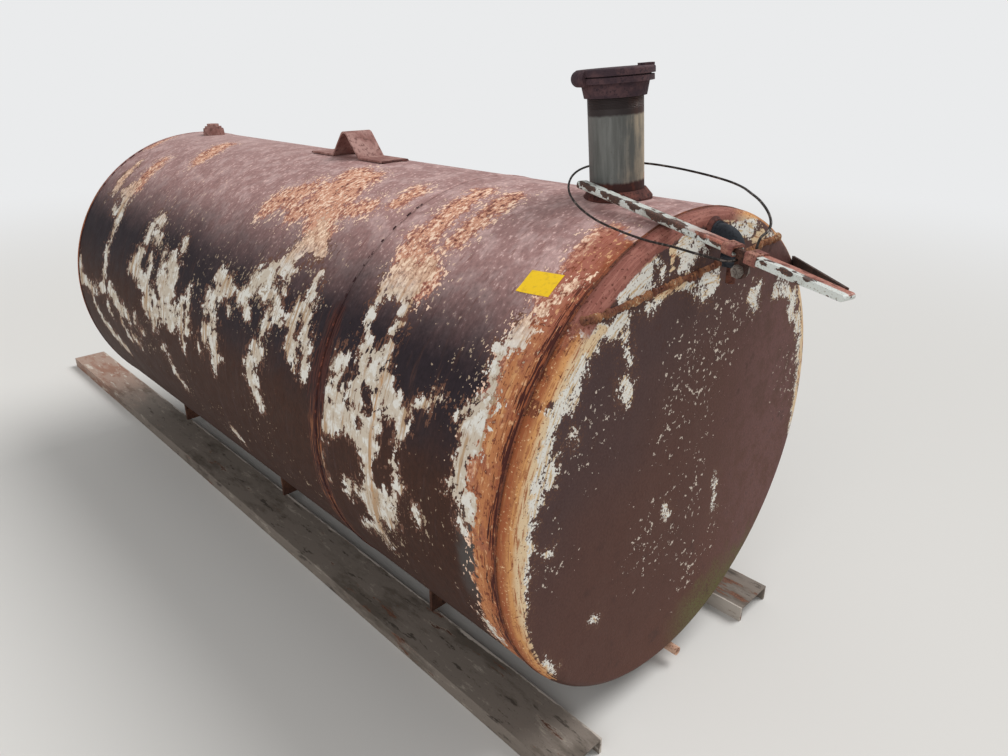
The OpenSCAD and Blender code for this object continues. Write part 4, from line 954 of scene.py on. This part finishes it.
# The pale flecks on the chord weld are tan, lightened as painted highlights on the bead's ripples
CHORD_RUST = rusted("chord_weld_rust", "#6a4030", "#9a6a48", "#321d18", grain=6, depth=1.2,
                    pale="#d9be9b")
CAP_IRON = rusted("rusty_cast_iron_cap", "#3b2c32", "#553e40", "#33272d", grain=7, depth=0.6)
BLACK_IRON = rusted("black_malleable_iron", "#24272d", "#33363c", "#191a1e", grain=6, depth=0.25)
PIPE_RUST = rusted("pipe_rust", "#4a2a23", "#6b3f31", "#2d1b18", grain=5, depth=0.4)
LUG_RUST = rusted("sun_bleached_rust", "#875e57", "#aa857d", "#6e4d47", grain=12, depth=0.4)
CLAMP_RUST = rusted("clamp_rust", "#81524a", "#a87968", "#4d2e27", grain=4, depth=0.4)
HUB_RUST = rusted("hub_rust", "#3a2722", "#57392e", "#241816", grain=4, depth=0.8)
BOLT_STEEL = rusted("worn_bolt_steel", "#6a625c", "#8c837a", "#46352e", grain=4, depth=0.3)
# The stay is dark rust, darkened further as painted shade on its side away from the light
STAY_RUST_IN_PAINTED_SHADE = rusted("stay_rust_in_painted_shade", "#38251f", "#4c332a", "#261814", grain=6, depth=0.5)
DRAIN_RUST = rusted("drain_rust", "#c29a82", "#d9b49c", "#8d6350", grain=6, depth=0.4)
SADDLE_RUST = rusted("saddle_rust", "#553a30", "#6f4c3c", "#3a2822", grain=8, depth=0.5)
ZINC = zinc_pipe()
LEFT_BAR = bar_paint("flaked_white_paint", -0.05, 0.15)
RIGHT_BAR = bar_paint("worn_white_paint", 0.003, 0.06)
SKID_LEFT = skid_finish("worn_grey_paint", 0.0, "skid_left")
SKID_RIGHT = skid_finish("rusty_worn_paint", 0.2, "skid_right")
WIRE = wire_finish()

FINISHES = {
    SEAM_RUST: ["mid_seam_weld", "rear_seam_weld", "rear_long_seam", "front_long_seam"],
    WELD_RUST: ["front_seam_weld"],
    FOOT_RUST: ["standpipe_weld", "lug_welds", "elbow_weld"],
    CHORD_RUST: ["head_chord_weld"],
    ZINC: ["standpipe"],
    CAP_IRON: ["cap_collar", "cap_ring", "cap_lid"],
    LUG_RUST: ["lifting_lug", "rear_coupling", "rear_plug"],
    BLACK_IRON: ["elbow", "elbow_bush"],
    PIPE_RUST: ["drop_nipple"],
    LEFT_BAR: ["left_arm"],
    RIGHT_BAR: ["right_arm", "arm_tip"],
    CLAMP_RUST: ["left_clamp", "right_clamp"],
    HUB_RUST: ["hinge_link"],
    BOLT_STEEL: ["hinge_bolt"],
    STAY_RUST_IN_PAINTED_SHADE: ["arm_stay"],
    SADDLE_RUST: ["saddle_front", "saddle_mid", "saddle_rear"],
    SKID_LEFT: ["skid_left"],
    SKID_RIGHT: ["skid_right"],
    DRAIN_RUST: ["drain_elbow", "drain_pipe"],
}
for finish, names in FINISHES.items():
    for name in names:
        NODES[name].data.materials.clear()
        NODES[name].data.materials.append(finish)

# Wire, along the same points as in part.scad: from the front face and the top of the shell
WIRE_D = 0.005
WIRE_MM = [
    (204, -193, -16), (205, -184, 3), (208, -165, 13), (203, -149, 26), (181, -123, 39),
    (140, -78, 48), (95, -30, 51), (48, 18, 53), (-10, 56, 56), (-90, 80, 61),
    (-175, 90, 66), (-250, 88, 68), (-310, 62, 66), (-345, 15, 62), (-340, -40, 58),
    (-318, -95, 51), (-290, -140, 40), (-262, -170, 27), (-230, -190, 14), (-190, -206, 1),
    (-140, -221, -10), (-80, -228, -20), (-20, -217, -32), (42, -212, -36), (105, -212, -41),
    (146, -212, -43), (165, -205, -43), (170, -194, -42),
]


def smooth_path(points, steps):
    """A smooth curve through points, with a few steps to each stretch."""
    route = []
    last = len(points) - 1
    for i in range(last):
        a, b, c, d = points[max(i - 1, 0)], points[i], points[i + 1], points[min(i + 2, last)]
        for k in range(steps):
            t = k / steps
            route.append(0.5 * (2 * b + (c - a) * t + (2 * a - 5 * b + 4 * c - d) * t * t
                                + (3 * b - a - 3 * c + d) * t ** 3))
    return route + [points[last]]


def tube(name, route, radius, sides, finish):
    """A round tube along a route, with closed ends."""
    points, faces = [], []
    side = None
    for i, centre in enumerate(route):
        run = (route[min(i + 1, len(route) - 1)] - route[max(i - 1, 0)]).normalized()
        if side is None:
            side = run.orthogonal().normalized()
        side = (side - run * side.dot(run)).normalized()
        out = run.cross(side)
        for k in range(sides):
            turn = math.tau * k / sides
            points.append(centre + radius * (math.cos(turn) * side + math.sin(turn) * out))
    for i in range(len(route) - 1):
        for k in range(sides):
            m = (k + 1) % sides
            faces.append((i * sides + k, i * sides + m, (i + 1) * sides + m, (i + 1) * sides + k))
    faces.append(tuple(range(sides - 1, -1, -1)))
    faces.append(tuple(range((len(route) - 1) * sides, len(route) * sides)))
    return mesh_piece(name, points, faces, finish)


top_of_face = MIDDLE + Vector((0, 0, RADIUS))
wire_route = smooth_path([top_of_face + Vector(p) / 1000 for p in WIRE_MM], 6)
wire = keep(tube("wire", wire_route, WIRE_D / 2, 10, WIRE), "wire", "wire_loop")

# Weld beads
BEAD = bead_tree()


def ring_path(name, station, radius, count=360):
    turns = [math.tau * k / count for k in range(count)]
    lifts = [Vector((0, math.sin(t), math.cos(t))) for t in turns]
    centre = MIDDLE - Vector((station, 0, 0))
    return path_mesh(name, [centre + l * radius for l in lifts], lifts, True)


for name, station, finish in (("mid_seam_ripples", MID_SEAM, SEAM_RUST),
                              ("front_seam_ripples", FRONT_SEAM, WELD_RUST),
                              ("rear_seam_ripples", REAR_SEAM, SEAM_RUST)):
    keep(grown(name, ring_path(name, station, RADIUS - 0.002), BEAD, Pitch=0.006, Width=0.005,
               Height=0.0022, Uneven=0.3, Seed=len(name), Finish=finish), "weld_rust")

chord_half = math.sqrt((RADIUS - 0.024) ** 2 - CHORD_Z ** 2)
# In sixtieths of half the chord, from far past its left end to its right end
chord_points, chord_lifts = [], []
for k in range(-66, 121):
    y = chord_half * (k / 60 - 1)
    wander = 0.006 * noise.noise(Vector((y * 9, 0.3, 0))) + 0.003 * noise.noise(Vector((y * 40, 2, 0)))
    z = CHORD_Z / math.cos(CHORD_TILT) + y * math.tan(CHORD_TILT) + wander
    # The bead climbs over the knuckle, and past the left end it stops at the flange
    over = min(max(math.hypot(y, z) - (RADIUS - KNUCKLE), 0.0), KNUCKLE)
    if k < 0 and over == KNUCKLE:
        continue
    out = Vector((math.sqrt(KNUCKLE ** 2 - over ** 2), y * over / math.hypot(y, z),
                  z * over / math.hypot(y, z))) / KNUCKLE
    chord_points.append(MIDDLE + Vector((KNUCKLE * (out.x - 1) + 0.001, y, z)))
    chord_lifts.append(out)
keep(grown("chord_ripples", path_mesh("chord_ripples", chord_points, chord_lifts, False),
           BEAD, Pitch=0.008, Width=0.012, Height=0.009, Uneven=0.6, Seed=3, Finish=CHORD_RUST),
     "weld_rust")

# Bare label on the left flank, as (station, degrees from the top) of its corners
LABEL = (0.121, 0.205, 33.9, 39.5)
LABEL_LEAN = 0.7
LABEL_T = 0.0005


def label():
    """A thin sheet bent round the shell, with its lower rear corner curling off."""
    columns, rows = 12, 8
    points, faces = [], []
    for layer, out in enumerate((0.0003, 0.0003 + LABEL_T)):
        for i in range(columns + 1):
            for j in range(rows + 1):
                u, v = i / columns, j / rows
                station = LABEL[0] + (LABEL[1] - LABEL[0]) * u
                angle = math.radians(LABEL[2] + (LABEL[3] - LABEL[2]) * v + LABEL_LEAN * (u - 0.5))
                curl = 0.0025 * max(0.0, u + v - 1.6) ** 2 / 0.16
                radius = RADIUS + out + curl
                points.append(MIDDLE + Vector((-station, -radius * math.sin(angle),
                                               radius * math.cos(angle))))
    size = (columns + 1) * (rows + 1)

    def at(i, j, layer):
        return layer * size + i * (rows + 1) + j

    for i in range(columns):
        for j in range(rows):
            faces.append((at(i, j, 1), at(i + 1, j, 1), at(i + 1, j + 1, 1), at(i, j + 1, 1)))
            faces.append((at(i, j, 0), at(i, j + 1, 0), at(i + 1, j + 1, 0), at(i + 1, j, 0)))
    for i in range(columns):
        for j, flip in ((0, False), (rows, True)):
            ring = (at(i, j, 0), at(i + 1, j, 0), at(i + 1, j, 1), at(i, j, 1))
            faces.append(ring[::-1] if flip else ring)
    for j in range(rows):
        for i, flip in ((0, True), (columns, False)):
            ring = (at(i, j, 0), at(i, j + 1, 0), at(i, j + 1, 1), at(i, j, 1))
            faces.append(ring[::-1] if flip else ring)
    return mesh_piece("label", points, faces, label_finish(), smooth=False)


keep(label(), "fitting_rust")
